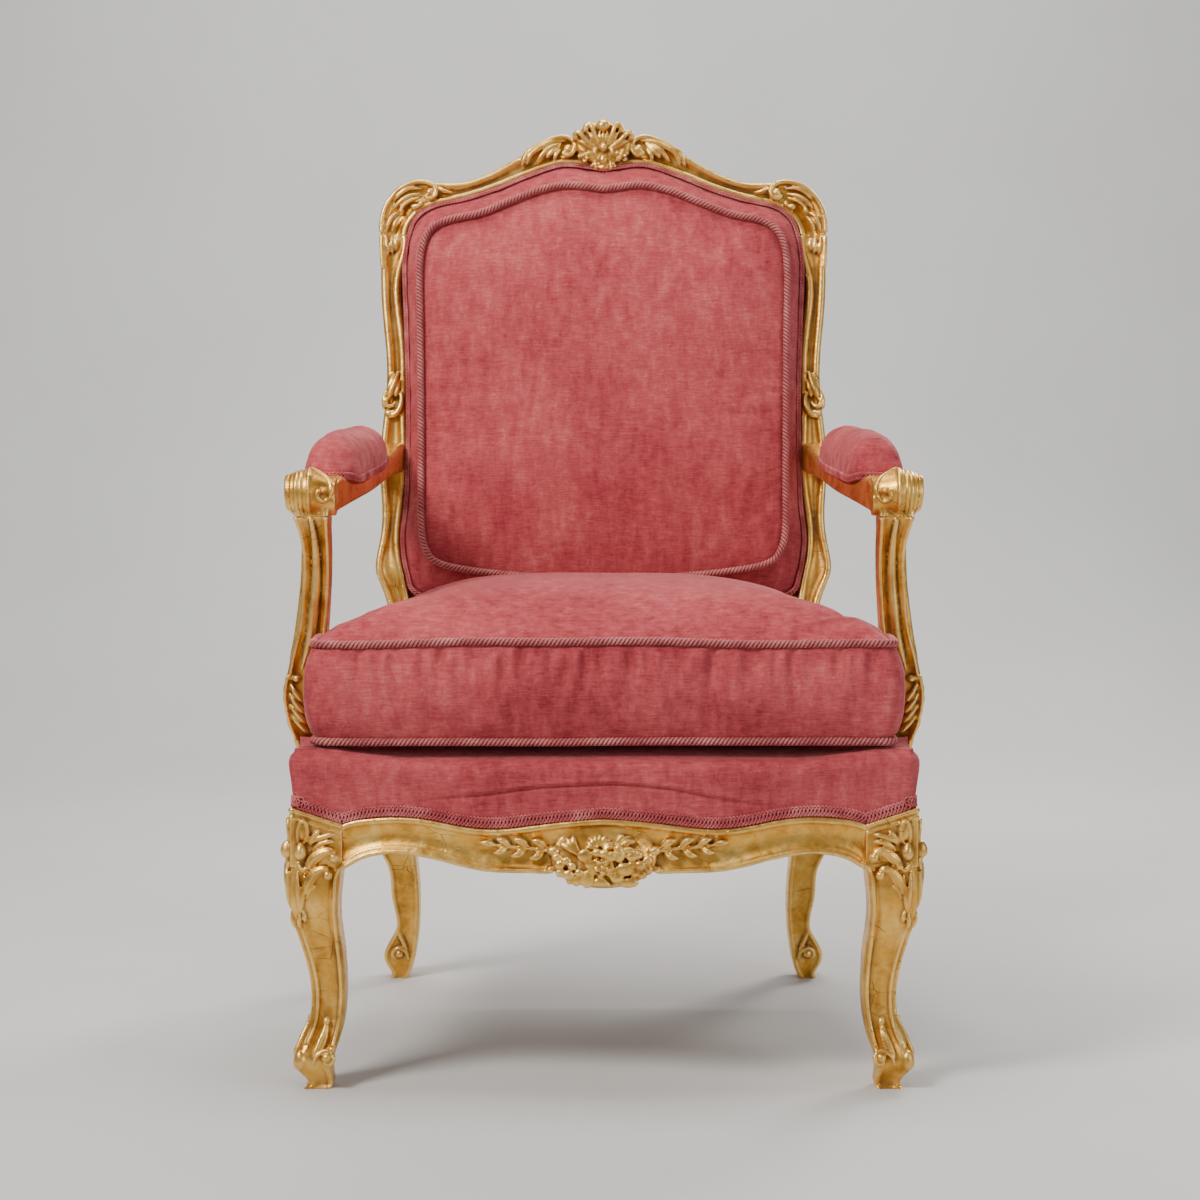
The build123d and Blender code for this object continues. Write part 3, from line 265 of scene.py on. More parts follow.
def corded(name, path, body, node):
    """Rope piping: three strands laid round a closed path, as one grooved skin."""
    a, ways = spokes(path, 21, True)
    turns = round(run_of(path)[-1] / ROPE_PITCH)
    ridge = abs(np.cos(1.5 * (a + 2 * pi * turns * np.linspace(0, 1, len(path), endpoint=False)[:, None])))
    radius = ROPE_RADIUS * (0.6 + 0.44 * ridge ** 0.8)
    cord = build(name, [grid(path[:, None] + radius[..., None] * ways, loop_rows=True)])
    # how deep each point lies between the strands, which the rope's shader darkens as painted shade
    keep(cord.data, 1 - ridge.ravel())
    place(cord, ROPE, "rope_piping", body, node)


# Materials
class Shader:
    def __init__(self, name):
        self.material = bpy.data.materials.new(name)
        self.material.use_nodes = True
        self.tree = self.material.node_tree
        self.tree.nodes.clear()
        self.bsdf = self.add("BsdfPrincipled")
        self.put(self.add("OutputMaterial").inputs[0], self.bsdf.outputs[0])
        self.where = self.add("TexCoord").outputs["Object"]

    def add(self, kind, **values):
        node = self.tree.nodes.new("ShaderNode" + kind)
        for name, value in values.items():
            self.put(node.inputs[name], value)
        return node

    def put(self, socket, value):
        """Give a socket another node's output, a number, a vector or a colour."""
        if isinstance(value, bpy.types.NodeSocket):
            self.tree.links.new(value, socket)
        else:
            socket.default_value = (*value, 1) if socket.type == "RGBA" else value

    def set(self, **values):
        for name, value in values.items():
            self.put(self.bsdf.inputs[name.replace("_", " ")], value)

    def stretched(self, scale, turn=(0, 0, 0)):
        return self.add("Mapping", Vector=self.where, Scale=scale, Rotation=turn).outputs[0]

    def noise(self, scale, detail=4.0, rough=0.55, vector=None, distortion=0.0):
        return self.add("TexNoise", Vector=vector or self.where, Scale=scale, Detail=detail, Roughness=rough,
                        Distortion=distortion).outputs["Fac"]

    def wave(self, scale, vector, distortion):
        return self.add("TexWave", Vector=vector, Scale=scale, Distortion=distortion).outputs["Fac"]

    def cells(self, vector):
        node = self.add("TexVoronoi", Vector=vector, Scale=1.0)
        node.feature = "DISTANCE_TO_EDGE"
        return node.outputs["Distance"]

    def ramp(self, value, *stops):
        node = self.add("ValToRGB")
        elements = node.color_ramp.elements
        while len(elements) < len(stops):
            elements.new(0.5)
        for element, (at, colour) in zip(elements, stops):
            element.position = at
            element.color = (*colour, 1) if isinstance(colour, tuple) else (colour, colour, colour, 1)
        self.put(node.inputs[0], value)
        return node.outputs[0]

    def mix(self, share, a, b):
        node = self.add("Mix")
        node.data_type = "RGBA"
        for k, value in ((0, share), (6, a), (7, b)):
            self.put(node.inputs[k], value)
        return node.outputs[2]

    def math(self, operation, a, b):
        node = self.add("Math")
        node.operation = operation
        for socket, value in zip(node.inputs, (a, b)):
            self.put(socket, value)
        return node.outputs[0]

    def blend(self, *parts):
        """Sum of values, each times its share."""
        total, *others = [self.math("MULTIPLY", value, share) for value, share in parts]
        for other in others:
            total = self.math("ADD", total, other)
        return total

    def hollow(self):
        node = self.add("Attribute")
        node.attribute_name = "hollow"
        return node.outputs["Fac"]

    def bump(self, height, distance):
        self.set(Normal=self.add("Bump", Height=height, Distance=distance).outputs[0])


def velvet(name, nap_turn=(0, 0, 0)):
    """Old rose velvet: crushed patches, brushed streaks and a fine pile."""
    s = Shader(name)
    patches = s.noise(6.0, 3.0, 0.55, distortion=0.5)
    brushed = s.noise(1.0, 5.0, 0.62, s.stretched((90.0, 90.0, 30.0), nap_turn))
    rows = s.noise(1.0, 2.0, 0.5, s.stretched((75.0, 75.0, 640.0), nap_turn))
    pile = s.noise(1500.0, 2.0, 0.6)
    crush = s.noise(110.0, 5.0, 0.7, distortion=1.2)
    tone = s.blend((patches, 0.26), (brushed, 0.26), (rows, 0.16), (crush, 0.2), (pile, 0.12))
    s.set(Base_Color=s.ramp(tone, (0.36, (0.20, 0.017, 0.026)), (0.46, (0.37, 0.05, 0.06)),
                            (0.54, (0.49, 0.085, 0.092)), (0.64, (0.64, 0.165, 0.16))),
          Roughness=s.ramp(crush, (0.3, 0.72), (0.7, 0.95)),
          Sheen_Weight=0.6, Sheen_Roughness=0.26, Sheen_Tint=(1.0, 0.52, 0.5), Specular_IOR_Level=0.15)
    s.bump(s.blend((pile, 0.6), (rows, 0.4), (crush, 0.9)), 0.0007)
    return s.material


def yarn(name, dark, mid, light, painted_groove_shade=False):
    """Twisted silk of cords and braid; a cord has painted shade between its strands."""
    s = Shader(name)
    fibres, worn = s.noise(900.0, 3.0, 0.6), s.noise(45.0, 3.0, 0.5)
    colour = s.ramp(s.blend((fibres, 0.45), (worn, 0.55)), (0.35, dark), (0.5, mid), (0.66, light))
    if painted_groove_shade:
        # painted shade: near-black red mixed in between the rope's strands
        colour = s.mix(s.ramp(s.hollow(), (0.3, 0.0), (0.72, 0.96)), colour, (0.07, 0.005, 0.01))
    s.set(Base_Color=colour, Roughness=s.ramp(fibres, (0.3, 0.5), (0.7, 0.75)),
          Sheen_Weight=0.12, Sheen_Roughness=0.4, Sheen_Tint=(1.0, 0.6, 0.6), Specular_IOR_Level=0.3)
    s.bump(fibres, 0.0004)
    return s.material


def gold():
    """Water gilding: leaf rubbed to its red bole on the edges, with fine cracks; the hollows are darkened by
    dirt and painted shade, and the ridges are lightened by burnish and a painted highlight.
    """
    s = Shader("giltwood_leaf")
    tone = s.noise(36.0, 6.0, 0.6, distortion=0.4)
    leaf = s.ramp(tone, (0.3, (0.46, 0.20, 0.026)), (0.48, (0.75, 0.39, 0.064)), (0.68, (0.93, 0.59, 0.155)))
    point = s.add("NewGeometry").outputs["Pointiness"]
    rub = s.noise(58.0, 9.0, 0.72)
    edge = s.ramp(point, (0.515, 0.0), (0.57, 0.42))
    worn = s.ramp(s.blend((rub, 0.75), (edge, 1.0)), (0.56, 0.0), (0.68, 0.75))
    leaf = s.mix(worn, leaf, (0.30, 0.105, 0.04))
    # dark brown in the hollows, from pointiness and depth below the smoothed skin: part dirt, part painted
    # shade
    depth = s.hollow()
    hollow = s.math("MAXIMUM", s.ramp(point, (0.445, 0.9), (0.497, 0.0)),
                    s.ramp(depth, (0.53, 0.0), (0.76, 0.94)))
    # bright gold on the ridges, above the smoothed skin: part burnish, part painted highlight
    leaf = s.mix(s.ramp(depth, (0.2, 0.6), (0.46, 0.0)), leaf, (1.0, 0.72, 0.27))
    leaf = s.mix(hollow, leaf, (0.10, 0.042, 0.010))
    cracks = s.ramp(s.cells(s.stretched((30.0, 30.0, 62.0))), (0.0, 0.7), (0.011, 0.0))
    broken = s.math("MULTIPLY", cracks, s.ramp(s.noise(16.0, 2.0), (0.56, 0.0), (0.64, 1.0)))
    dull = s.math("MAXIMUM", s.math("MAXIMUM", worn, broken), hollow)
    polish = s.ramp(s.noise(120.0, 5.0, 0.6), (0.3, 0.24), (0.72, 0.48))
    s.set(Base_Color=s.mix(broken, leaf, (0.10, 0.045, 0.02)), Metallic=s.ramp(dull, (0.0, 0.92), (0.9, 0.25)),
          Roughness=s.blend((polish, 1.0), (dull, 0.2)))
    s.bump(s.blend((s.noise(420.0, 4.0, 0.6), 0.35), (tone, 1.0), (broken, -1.6)), 0.0006)
    return s.material


def beech():
    """Plain beech: long grain with short dark flecks."""
    s = Shader("bare_beech_wood")
    grain = s.noise(1.0, 6.0, 0.6, s.stretched((14.0, 90.0, 90.0)), 1.0)
    flecks = s.noise(1.0, 2.0, 0.5, s.stretched((60.0, 420.0, 420.0)))
    base = s.ramp(grain, (0.3, (0.26, 0.145, 0.07)), (0.7, (0.47, 0.30, 0.16)))
    s.set(Base_Color=s.mix(s.ramp(flecks, (0.58, 0.0), (0.68, 0.6)), base, (0.17, 0.085, 0.04)),
          Roughness=s.ramp(grain, (0.3, 0.62), (0.7, 0.78)))
    s.bump(s.math("ADD", grain, flecks), 0.0004)
    return s.material


def woven(name, dark, light, pitch):
    """Plain weave of coarse yarn."""
    s = Shader(name)
    warp, weft = (s.wave(pi / (10 * pitch), s.stretched((1, 1, 1), (0, 0, turn)), 0.6) for turn in (0, pi / 2))
    checks = s.math("MULTIPLY", warp, weft)
    slub = s.noise(130.0, 4.0, 0.6)
    s.set(Base_Color=s.ramp(s.blend((checks, 0.5), (slub, 0.5)), (0.2, dark), (0.75, light)),
          Roughness=s.ramp(slub, (0.3, 0.8), (0.7, 0.95)))
    s.bump(s.blend((checks, 1.0), (slub, 0.4)), 0.0008)
    return s.material


VELVET = velvet("rose_velvet")
VELVET_FLAT = velvet("rose_velvet_seat", (pi / 2, 0, 0))
ROPE = yarn("rope_silk", (0.34, 0.06, 0.066), (0.5, 0.125, 0.122), (0.68, 0.25, 0.225), True)
# the second material, for the braid's strip, is a darkened copy of the loops: painted shade seen between them
GIMP = (yarn("gimp_loops", (0.3, 0.034, 0.042), (0.46, 0.085, 0.092), (0.72, 0.25, 0.24)),
        yarn("gimp_shade_ground", (0.11, 0.009, 0.013), (0.19, 0.022, 0.028), (0.28, 0.045, 0.05)))
GOLD = gold()
BEECH = beech()
WEBBING = woven("jute_webbing", (0.2, 0.135, 0.075), (0.52, 0.4, 0.25), 0.0035)
HESSIAN = woven("open_hessian", (0.16, 0.11, 0.06), (0.44, 0.33, 0.19), 0.0022)


def ripple(*arrays):
    """Slow, repeatable waviness between -1 and 1."""
    total = 0.0
    for k, a in enumerate(arrays):
        total = total + np.sin(a * (1.0 + 0.37 * k) + 1.7 * k) * np.cos(a * 0.43 + 2.1 * k)
    return total / len(arrays)


def bell(distance, reach):
    return np.exp(-(distance / reach) ** 2)


def drawn(distance, far, near):
    """Strength of the tucks near a seam: none on it, most just off it."""
    return bell(distance, far) * (1 - bell(distance, near))


# Loose cushion: rings of its T-shaped outline from the underside over the boxing to the crown
CUSHION_FRONT, CUSHION_EAR, CUSHION_REAR = -18.0, 64.0, 432.0
HALF_FRONT, HALF_NECK, HALF_REAR = 294.0, 273.0, 240.0
SEAM_LOW, SEAM_HIGH, SEAM_INSET, CUSHION_UNDER, CROWN = 352.4, 446.4, -6.5, 344.5, 54.0
# radius of each corner, points of its arc and of the straight after it
CUSHION_CORNERS = ((18.0, 14, 10), (9.5, 9, 5), (9.5, 9, 70), (20.0, 14, 90),
                   (20.0, 14, 70), (9.5, 9, 5), (9.5, 9, 10), (18.0, 14, 110))


def corner_run(before, vertex, after, radius, count):
    """Arc that rounds a corner of an outline."""
    arrive, leave = unit(vertex - before), unit(after - vertex)
    turn = np.arctan2(arrive[0] * leave[1] - arrive[1] * leave[0], arrive @ leave)
    room = min(np.linalg.norm(vertex - before), np.linalg.norm(after - vertex))
    run = min(abs(radius * np.tan(turn / 2)), 0.48 * room)
    radius = run / max(abs(np.tan(turn / 2)), 1e-6)
    side = np.sign(turn) * np.array([-arrive[1], arrive[0]])
    x, y = -side * radius
    a = np.linspace(0, turn, count)
    arc = np.stack([x * np.cos(a) - y * np.sin(a), x * np.sin(a) + y * np.cos(a)], 1)
    return vertex - arrive * run + side * radius + arc


def cushion_ring(offset, scale=1.0):
    """The cushion's outline, grown by an offset and scaled about its middle, always with the same points."""
    middle = (CUSHION_FRONT + CUSHION_REAR) / 2
    depth = (CUSHION_EAR - CUSHION_FRONT) * max(1 - 2.6 * (1 - scale), 0.3 * scale)
    narrow = HALF_NECK + (HALF_FRONT - HALF_NECK) * max(1 - 2.2 * (1 - scale), 0.02)
    ear_back = CUSHION_FRONT + offset + depth / scale
    right = np.array([(narrow + offset, CUSHION_FRONT - offset), (narrow + offset, ear_back),
                      (HALF_NECK + offset, ear_back), (HALF_REAR + offset, CUSHION_REAR + offset)])
    ring = np.concatenate([right, right[::-1] * (-1, 1)])
    arcs = [corner_run(ring[k - 1], ring[k], ring[(k + 1) % 8], radius + 0.5 * offset, count)
            for k, (radius, count, _) in enumerate(CUSHION_CORNERS)]
    points = []
    for k, (_, _, count) in enumerate(CUSHION_CORNERS):
        steps = np.linspace(0, 1, count + 2)[1:-1, None]
        points += [arcs[k], arcs[k][-1] * (1 - steps) + arcs[(k + 1) % 8][0] * steps]
    ring = np.concatenate(points)
    return np.stack([ring[:, 0] * scale, middle + (ring[:, 1] - middle) * scale], 1)


def seam_sway(ring, side):
    """How far the seams of a much used cushion rise and fall along its front."""
    front = np.clip((40 - ring[:, 1]) / 60, 0, 1)
    sway = 1.6 * np.sin(ring[:, 0] / 78 + 1.0 + side) + 0.8 * np.sin(ring[:, 0] / 31)
    return front * sway * (1.0 if side > 0 else 0.35)


def cushion_rings():
    run = run_of(cushion_ring(0.0))
    # outline, height and place: -1 on the underside, 0 to 1 up the boxing, 2 to 3 over the crown
    rings = [(cushion_ring(-12.0, scale), CUSHION_UNDER, -1.0) for scale in (0.05, 0.3, 0.6, 0.85, 0.96)]
    rings += [(cushion_ring(offset), CUSHION_UNDER + lift, -1.0)
              for offset, lift in ((-10.5, 0.4), (-8.0, 3.0))]
    for u in np.linspace(0, 1, 23):
        full = (4 * u * (1 - u)) ** 0.6
        wide, tight = cushion_ring(SEAM_INSET + 11.0 * full), cushion_ring(SEAM_INSET + 8.0 * full)
        behind = np.clip((cushion_ring(SEAM_INSET)[:, 1] - 40) / 20, 0, 1)[:, None]
        rings.append((wide * (1 - behind) + tight * behind, SEAM_LOW + (SEAM_HIGH - SEAM_LOW) * u, u))
    for w in np.linspace(0.0, 1.0, 34)[1:] ** 1.7 * 0.97:
        z = SEAM_HIGH + CROWN * (1 - (1 - w) ** 2.3) ** 0.6
        rings.append((cushion_ring(SEAM_INSET, 1 - w), z, 2.0 + w))
    points = np.zeros((len(rings), len(run), 3))
    for k, (ring, z, u) in enumerate(rings):
        points[k, :, :2], points[k, :, 2] = ring, z
        if 0 <= u <= 1:
            points[k, :, 2] += u * seam_sway(ring, 1) + (1 - u) * seam_sway(ring, -1)
        if 0 < u < 1:
            pucker = ripple(run / 7.0, run / 4.6, run / 11.0) * 2.6 * drawn(1 - u, 0.3, 0.06)
            fold = ripple(run / 23.0 + 1.3 * u, run / 41.0 - u) * 1.5 * sin(pi * u)
            points[k, :, :2] += rightward(ring - np.roll(ring, 1, 0)) * (pucker + fold)[:, None]
        if u > 2:
            (x, y), w = ring.T, u - 2
            points[k, :, 2] += seam_sway(ring, 1) * bell(w, 0.12)
            points[k, :, 2] += ripple(run / 9.0, run / 5.7) * 1.3 * drawn(w, 0.07, 0.012)
            dents = ripple(x / 47.0 + y / 83.0, y / 39.0, x / 71.0 - y / 52.0) * 1.6
            points[k, :, 2] += dents * min(w * 6, 1)
    return points


def fixed(obj):
    """The mesh of an object with its modifiers worked in."""
    mesh = bpy.data.meshes.new_from_object(obj.evaluated_get(bpy.context.evaluated_depsgraph_get()))
    obj.modifiers.clear()
    obj.data = mesh
    mesh.polygons.foreach_set("use_smooth", [True] * len(mesh.polygons))
    return mesh


def skinned(obj, voxel):
    """Give an object one even skin, with faces of about the given size in mm."""
    remesh = obj.modifiers.new("skin", "REMESH")
    remesh.mode, remesh.voxel_size = "VOXEL", voxel * MM


def relaxed(obj, passes):
    relax = obj.modifiers.new("relax", "SMOOTH")
    relax.iterations, relax.factor = passes, 0.5


def swell(obj, held, cap, pressure, excess, voxel=5.5):
    """Cloth blown up over its filling and held along its seams; held and cap are given points in mm."""
    skinned(obj, voxel)
    mesh = fixed(obj)
    rest = np.array([v.co for v in mesh.vertices])
    points = rest * 1000 + ORIGIN
    group = obj.vertex_groups.new(name="held")
    group.add([int(k) for k in np.where(held(points))[0]], 1.0, "REPLACE")
    cloth = obj.modifiers.new("cloth", "CLOTH")
    cloth.collision_settings.use_collision = False
    settings = cloth.settings
    settings.quality = 5
    settings.mass = 0.3
    settings.tension_stiffness = settings.compression_stiffness = 15
    settings.shear_stiffness = 5
    settings.bending_stiffness = 0.5
    settings.shrink_min = -excess
    settings.vertex_group_mass = "held"
    settings.use_pressure = True
    settings.uniform_pressure_force = pressure
    settings.effector_weights.gravity = 0
    for number in range(1, CLOTH_FRAMES + 1):
        bpy.context.scene.frame_set(number)
    shaped = obj.evaluated_get(bpy.context.evaluated_depsgraph_get()).to_mesh()
    moved = np.array([v.co for v in shaped.vertices]) - rest
    obj.modifiers.clear()
    obj.vertex_groups.clear()
    bpy.context.scene.frame_set(1)
    length = np.linalg.norm(moved, axis=1)
    limit = np.broadcast_to(cap(points), length.shape) * MM
    moved *= (limit * np.tanh(length / np.maximum(limit, 1e-9)) / np.maximum(length, 1e-9))[:, None]
    mesh.vertices.foreach_set("co", (rest + moved).astype(np.float32).ravel())
    mesh.update()
    relaxed(obj, 2)
    finer = obj.modifiers.new("finer", "SUBSURF")
    finer.levels = finer.render_levels = 1
    fixed(obj)


def near_seams(p):
    """Points of the cushion along its two seams and on its underside."""
    x, y, z = abs(p[:, 0]), p[:, 1], p[:, 2]
    seam = (abs(z - SEAM_HIGH) < 3.5) | (abs(z - SEAM_LOW) < 3.5)
    inside = (x < np.interp(y, (60.0, 75.0, 440.0), (270.0, 245.0, 215.0))) & (y > 10) & (y < 405)
    return (z < CUSHION_UNDER + 3.0) | (seam & ~inside)


def cushion_cap(p):
    """How far the cushion may swell: little where it lies along the arm supports."""
    return np.where((abs(p[:, 0]) > 255) & (p[:, 1] > 58), 1.5, 6.0)


def tucks(points):
    """Short tucks under the upper piping and slow folds down the front of the boxing."""
    p = points.copy()
    x, u = p[:, 0], np.clip((p[:, 2] - SEAM_LOW) / (SEAM_HIGH - SEAM_LOW), 0, 1)
    front = np.clip((10 - p[:, 1]) / 16, 0, 1) * np.clip((290 - abs(x)) / 30, 0, 1)
    short = 7.0 * drawn(1 - u, 0.34, 0.08) * ripple(x / 3.6, x / 5.9)
    p[:, 1] -= front * (short + 3.6 * np.sin(pi * u) * ripple(x / 13 + 1.3 * u, x / 24 - u))
    return p


cushion = build("loose_cushion", [capped(cushion_rings())])
swell(cushion, near_seams, cushion_cap, 4.5, 0.03)
worked(cushion.data, tucks)
place(cushion, VELVET_FLAT, "velvet", "cushion", "cushion_top", "cushion_boxing", "cushion_bottom",
      "cushion_filling")
for name, seam, side in (("upper", SEAM_HIGH, 1), ("lower", SEAM_LOW, -1)):
    ring = cushion_ring(SEAM_INSET + 2.6)
    path = np.concatenate([ring, seam + side * 2.4 + seam_sway(ring, side)[:, None]], 1)
    corded(f"cushion_rope_{name}", even(path, 2100), "cushion", f"cushion_cord_{name}")

# Stuffed seat under the cushion
LEG_INNER, LEG_OUTER, LEG_FRONT, LEG_BACK, LEG_ROUND = 260.0, 312.0, -24.0, 28.0, 12.0
SIDE_END, SIDE_END_X, SEAT_END = 465.0, 266.0, 455.0            # rear end of the side rails and their cover
NOTCH_FRONT, NOTCH_REAR, NOTCH_X = 93.5, 137.0, 283.0           # round the arm support
POST_X, POST_Y, REAR_Y, REAR_EDGE = 223.0, 455.5, 486.0, 297.0  # round the rear post and behind
RAIL_LOW, SEAT_TOP, SEAT_UNDER = 250.0, 343.6, 302.2


def smooth_table(*table):
    fine = spline(table, 200)
    return lambda s: np.interp(s, fine[:, 0], fine[:, 1])


# height of the show edge along the front from the middle, and along the side from the leg
FRONT_EDGE = smooth_table((0.0, 26.0), (0.25, 20.0), (0.41, 15.5), (0.54, 18.0), (0.66, 24.0), (0.79, 27.0),
                          (0.91, 25.0), (1.0, 19.0))
SIDE_EDGE = smooth_table((0.0, 19.0), (0.1, 25.0), (0.28, 25.0), (0.5, 16.0), (0.68, 17.0), (0.86, 23.0),
                         (1.0, 21.0), (1.06, 20.0))


def front_y(x):
    return LEG_FRONT - 10.0 * (1 - np.minimum(abs(np.asarray(x, float)) / LEG_INNER, 1.0) ** 2)


def side_share(y):
    return (np.asarray(y, float) - LEG_BACK) / (SIDE_END - LEG_BACK)


def side_x(y):
    share = side_share(y)
    return LEG_OUTER + (SIDE_END_X - LEG_OUTER) * share + 80.0 * share * (1 - share) - 1.0


def block_edge(distance):
    """Height of the show edge on the leg's block, which rises to its outer corner."""
    return 269 + 17 * distance / 52


def seat_half():
    """Right half of the seat's show outline, from the middle of the front to the post: X, Y and show edge."""
    x = np.linspace(0, LEG_INNER, 131)
    front = np.stack([x, front_y(x), RAIL_LOW + FRONT_EDGE(x / LEG_INNER)], 1)
    x = np.linspace(LEG_INNER, LEG_OUTER - LEG_ROUND, 22)[1:]
    block = np.stack([x, np.full_like(x, LEG_FRONT), block_edge(x - LEG_INNER)], 1)
    a = np.linspace(0, pi / 2, 10)[1:]
    arc = np.stack([LEG_OUTER - LEG_ROUND + LEG_ROUND * np.sin(a),
                    LEG_FRONT + LEG_ROUND - LEG_ROUND * np.cos(a),
                    np.full_like(a, 285.5)], 1)
    y = np.linspace(LEG_FRONT + LEG_ROUND, LEG_BACK, 21)[1:]
    block_side = np.stack([LEG_OUTER - (y - LEG_FRONT) / 52, y, block_edge(LEG_BACK - y)], 1)
    y = np.linspace(LEG_BACK, SEAT_END, 190)[1:]
    side = np.stack([side_x(y), y, RAIL_LOW + SIDE_EDGE(side_share(y))], 1)
    return np.concatenate([front, block, arc, block_side, side])


SEAT_LINE = seat_half()
# profile of the seat's cover from the show edge to its top: share of the height, offset outward, lift
SEAT_PROFILE = [(0.0, -3.0, -2.0), (0.0, -3.0, 0.4), (0.1, -2.2, 0.6)]
SEAT_PROFILE += [(s, float(np.interp(s, (0.1, 0.22, 0.36, 0.5, 0.62), (-2.2, -1.4, -0.4, 0.7, 1.7))), 0)
                 for s in np.arange(0.14, 0.66, 0.02)]
SEAT_PROFILE += [(0.72, 2.2, 0), (0.8, 1.8, 0), (0.87, 0.2, 0), (0.925, -2.8, 0), (0.965, -7.0, 0),
                 (0.99, -13.0, 0),
                 (1.0, -22.0, 0), (1.0, -36.0, 0), (1.0, -50.0, 0), (1.0, -62.0, 0)]


def seat_rings():
    line = SEAT_LINE
    foot = np.where((line[:, 1] > NOTCH_FRONT) & (line[:, 1] < NOTCH_REAR))[0]
    before, after = line[:foot[0]], line[foot[-1] + 1:]
    x0, x1 = before[-1, 0], after[0, 0]
    notch_y = np.concatenate([np.full(9, NOTCH_FRONT), np.linspace(NOTCH_FRONT, NOTCH_REAR, 20),
                              np.full(9, NOTCH_REAR)])
    notch_x = np.concatenate([np.linspace(x0, NOTCH_X, 9), np.full(20, NOTCH_X), np.linspace(NOTCH_X, x1, 9)])
    notch = np.stack([notch_x, notch_y, np.interp(notch_y, line[-190:, 1], line[-190:, 2])], 1)
    side = np.stack([np.linspace(line[-1, 0], POST_X + 0.5, 16)[1:], np.full(15, POST_Y),
                     np.full(15, REAR_EDGE - 1)], 1)
    post = np.stack([np.full(10, POST_X), np.linspace(POST_Y + 1, REAR_Y - 2, 10), np.full(10, REAR_EDGE)], 1)
    x = np.linspace(POST_X, 0, 40)[1:]
    rear = np.stack([x, np.full_like(x, REAR_Y), np.full_like(x, REAR_EDGE)], 1)
    half = np.concatenate([before, notch, after, side, post, rear])
    ring = np.concatenate([half, half[-2:0:-1] * (-1, 1, 1)])
    outward, run = rightward(along(ring)), run_of(ring[:, :2])
    wide, y, edge = abs(ring[:, 0]), ring[:, 1], ring[:, 2] + 0.6
    front = np.clip((60 - y) / 60, 0, 1)
    # near its corners the outline is drawn in less, so that it doesn't cross itself
    corners = np.array([(LEG_OUTER, LEG_FRONT), (x0, NOTCH_FRONT), (NOTCH_X, NOTCH_FRONT),
                        (NOTCH_X, NOTCH_REAR),
                        (x1, NOTCH_REAR), (line[-1, 0], POST_Y), (POST_X, POST_Y + 0.5), (POST_X, REAR_Y)])
    reach = 0.2 + 0.5 * np.hypot(wide[:, None] - corners[:, 0], y[:, None] - corners[:, 1]).min(axis=1)
    # a pulled crease across the front, a seam on the corner, and a roll under the cushion's front
    fold = 0.53 - 0.27 * np.clip(abs(ring[:, 0] + 18) / 165, 0, 1.2) ** 2 + 0.03 * ripple(run / 41.0)
    seam = 1.6 * bell(np.hypot(wide - 308.5, y + 20.5), 2.2)
    roll = 10.0 * np.clip((30 - y) / 30, 0, 1) * np.clip((266 - wide) / 66, 0, 1) ** 0.7
    points = np.zeros((len(SEAT_PROFILE), len(ring), 3))
    for k, (share, offset, lift) in enumerate(SEAT_PROFILE):
        crease = 2.4 * bell(share - fold, 0.028) - 1.3 * bell(share - fold - 0.075, 0.04)
        crease = crease * front * np.clip((190 - wide) / 70, 0, 1)
        slack = ripple(run / 19.0, run / 33.0) * 0.8 * sin(pi * share) * front
        points[k, :, :2] = ring[:, :2] + outward * (np.maximum(offset, -reach) - crease - seam + slack)[:, None]
        points[k, :, 2] = edge + (SEAT_TOP - edge) * share + lift
        points[k, :, 2] -= roll * max(share - 0.4, 0.0) / 0.6 * np.interp(-offset, (22, 62), (1, 0))
    # inside of the skirt, up to the underside that rests on the hessian
    thick = np.clip(reach / 6, 0.1, 1)
    wall, under = [np.minimum(3.0, reach) + thick * depth for depth in (2.5, 3.5)]
    ceiling = np.full(len(ring), SEAT_UNDER)
    inner = [np.concatenate([ring[:, :2] - outward * inset[:, None], z[:, None]], 1)
             for inset, z in ((under, ceiling), (wall, ceiling), (wall, points[0, :, 2]))]
    return np.concatenate([inner, points])


deck = build("seat_platform", [capped(seat_rings())])
place(deck, VELVET, "velvet", "frame", "seat_cover", "seat_stuffing")


def seat_gimp():
    """Braid along the seat's show edge, in runs between the mitres and round the posts."""
    line = SEAT_LINE
    x, y = line[:, 0], line[:, 1]
    runs = [line[(x >= LEG_INNER) & (y <= LEG_BACK)], line[(y >= LEG_BACK) & (y < 93)],
            line[(y > 137.5) & (y < 452)]]
    front = line[(y < LEG_FRONT + 0.01) & (x <= LEG_INNER)]
    runs.append(np.concatenate([front[:0:-1] * (-1, 1, 1), front]))
    pieces = []
    for run in runs:
        path = even(run + 5.8 * UP, int(len(run) * 3.2), closed=False)
        tangent = np.gradient(path, axis=0)
        out = level(rightward(tangent))
        strip = braid(path - out * 2.3, unit(np.cross(out, unit(tangent))), out, SEAT_GIMP, closed=False)
        pieces += strip if run is runs[-1] else strip + mirrored(strip)
    return pieces


place(build("seat_braid", seat_gimp()), GIMP, "gimp_braid", "frame", "seat_gimp")

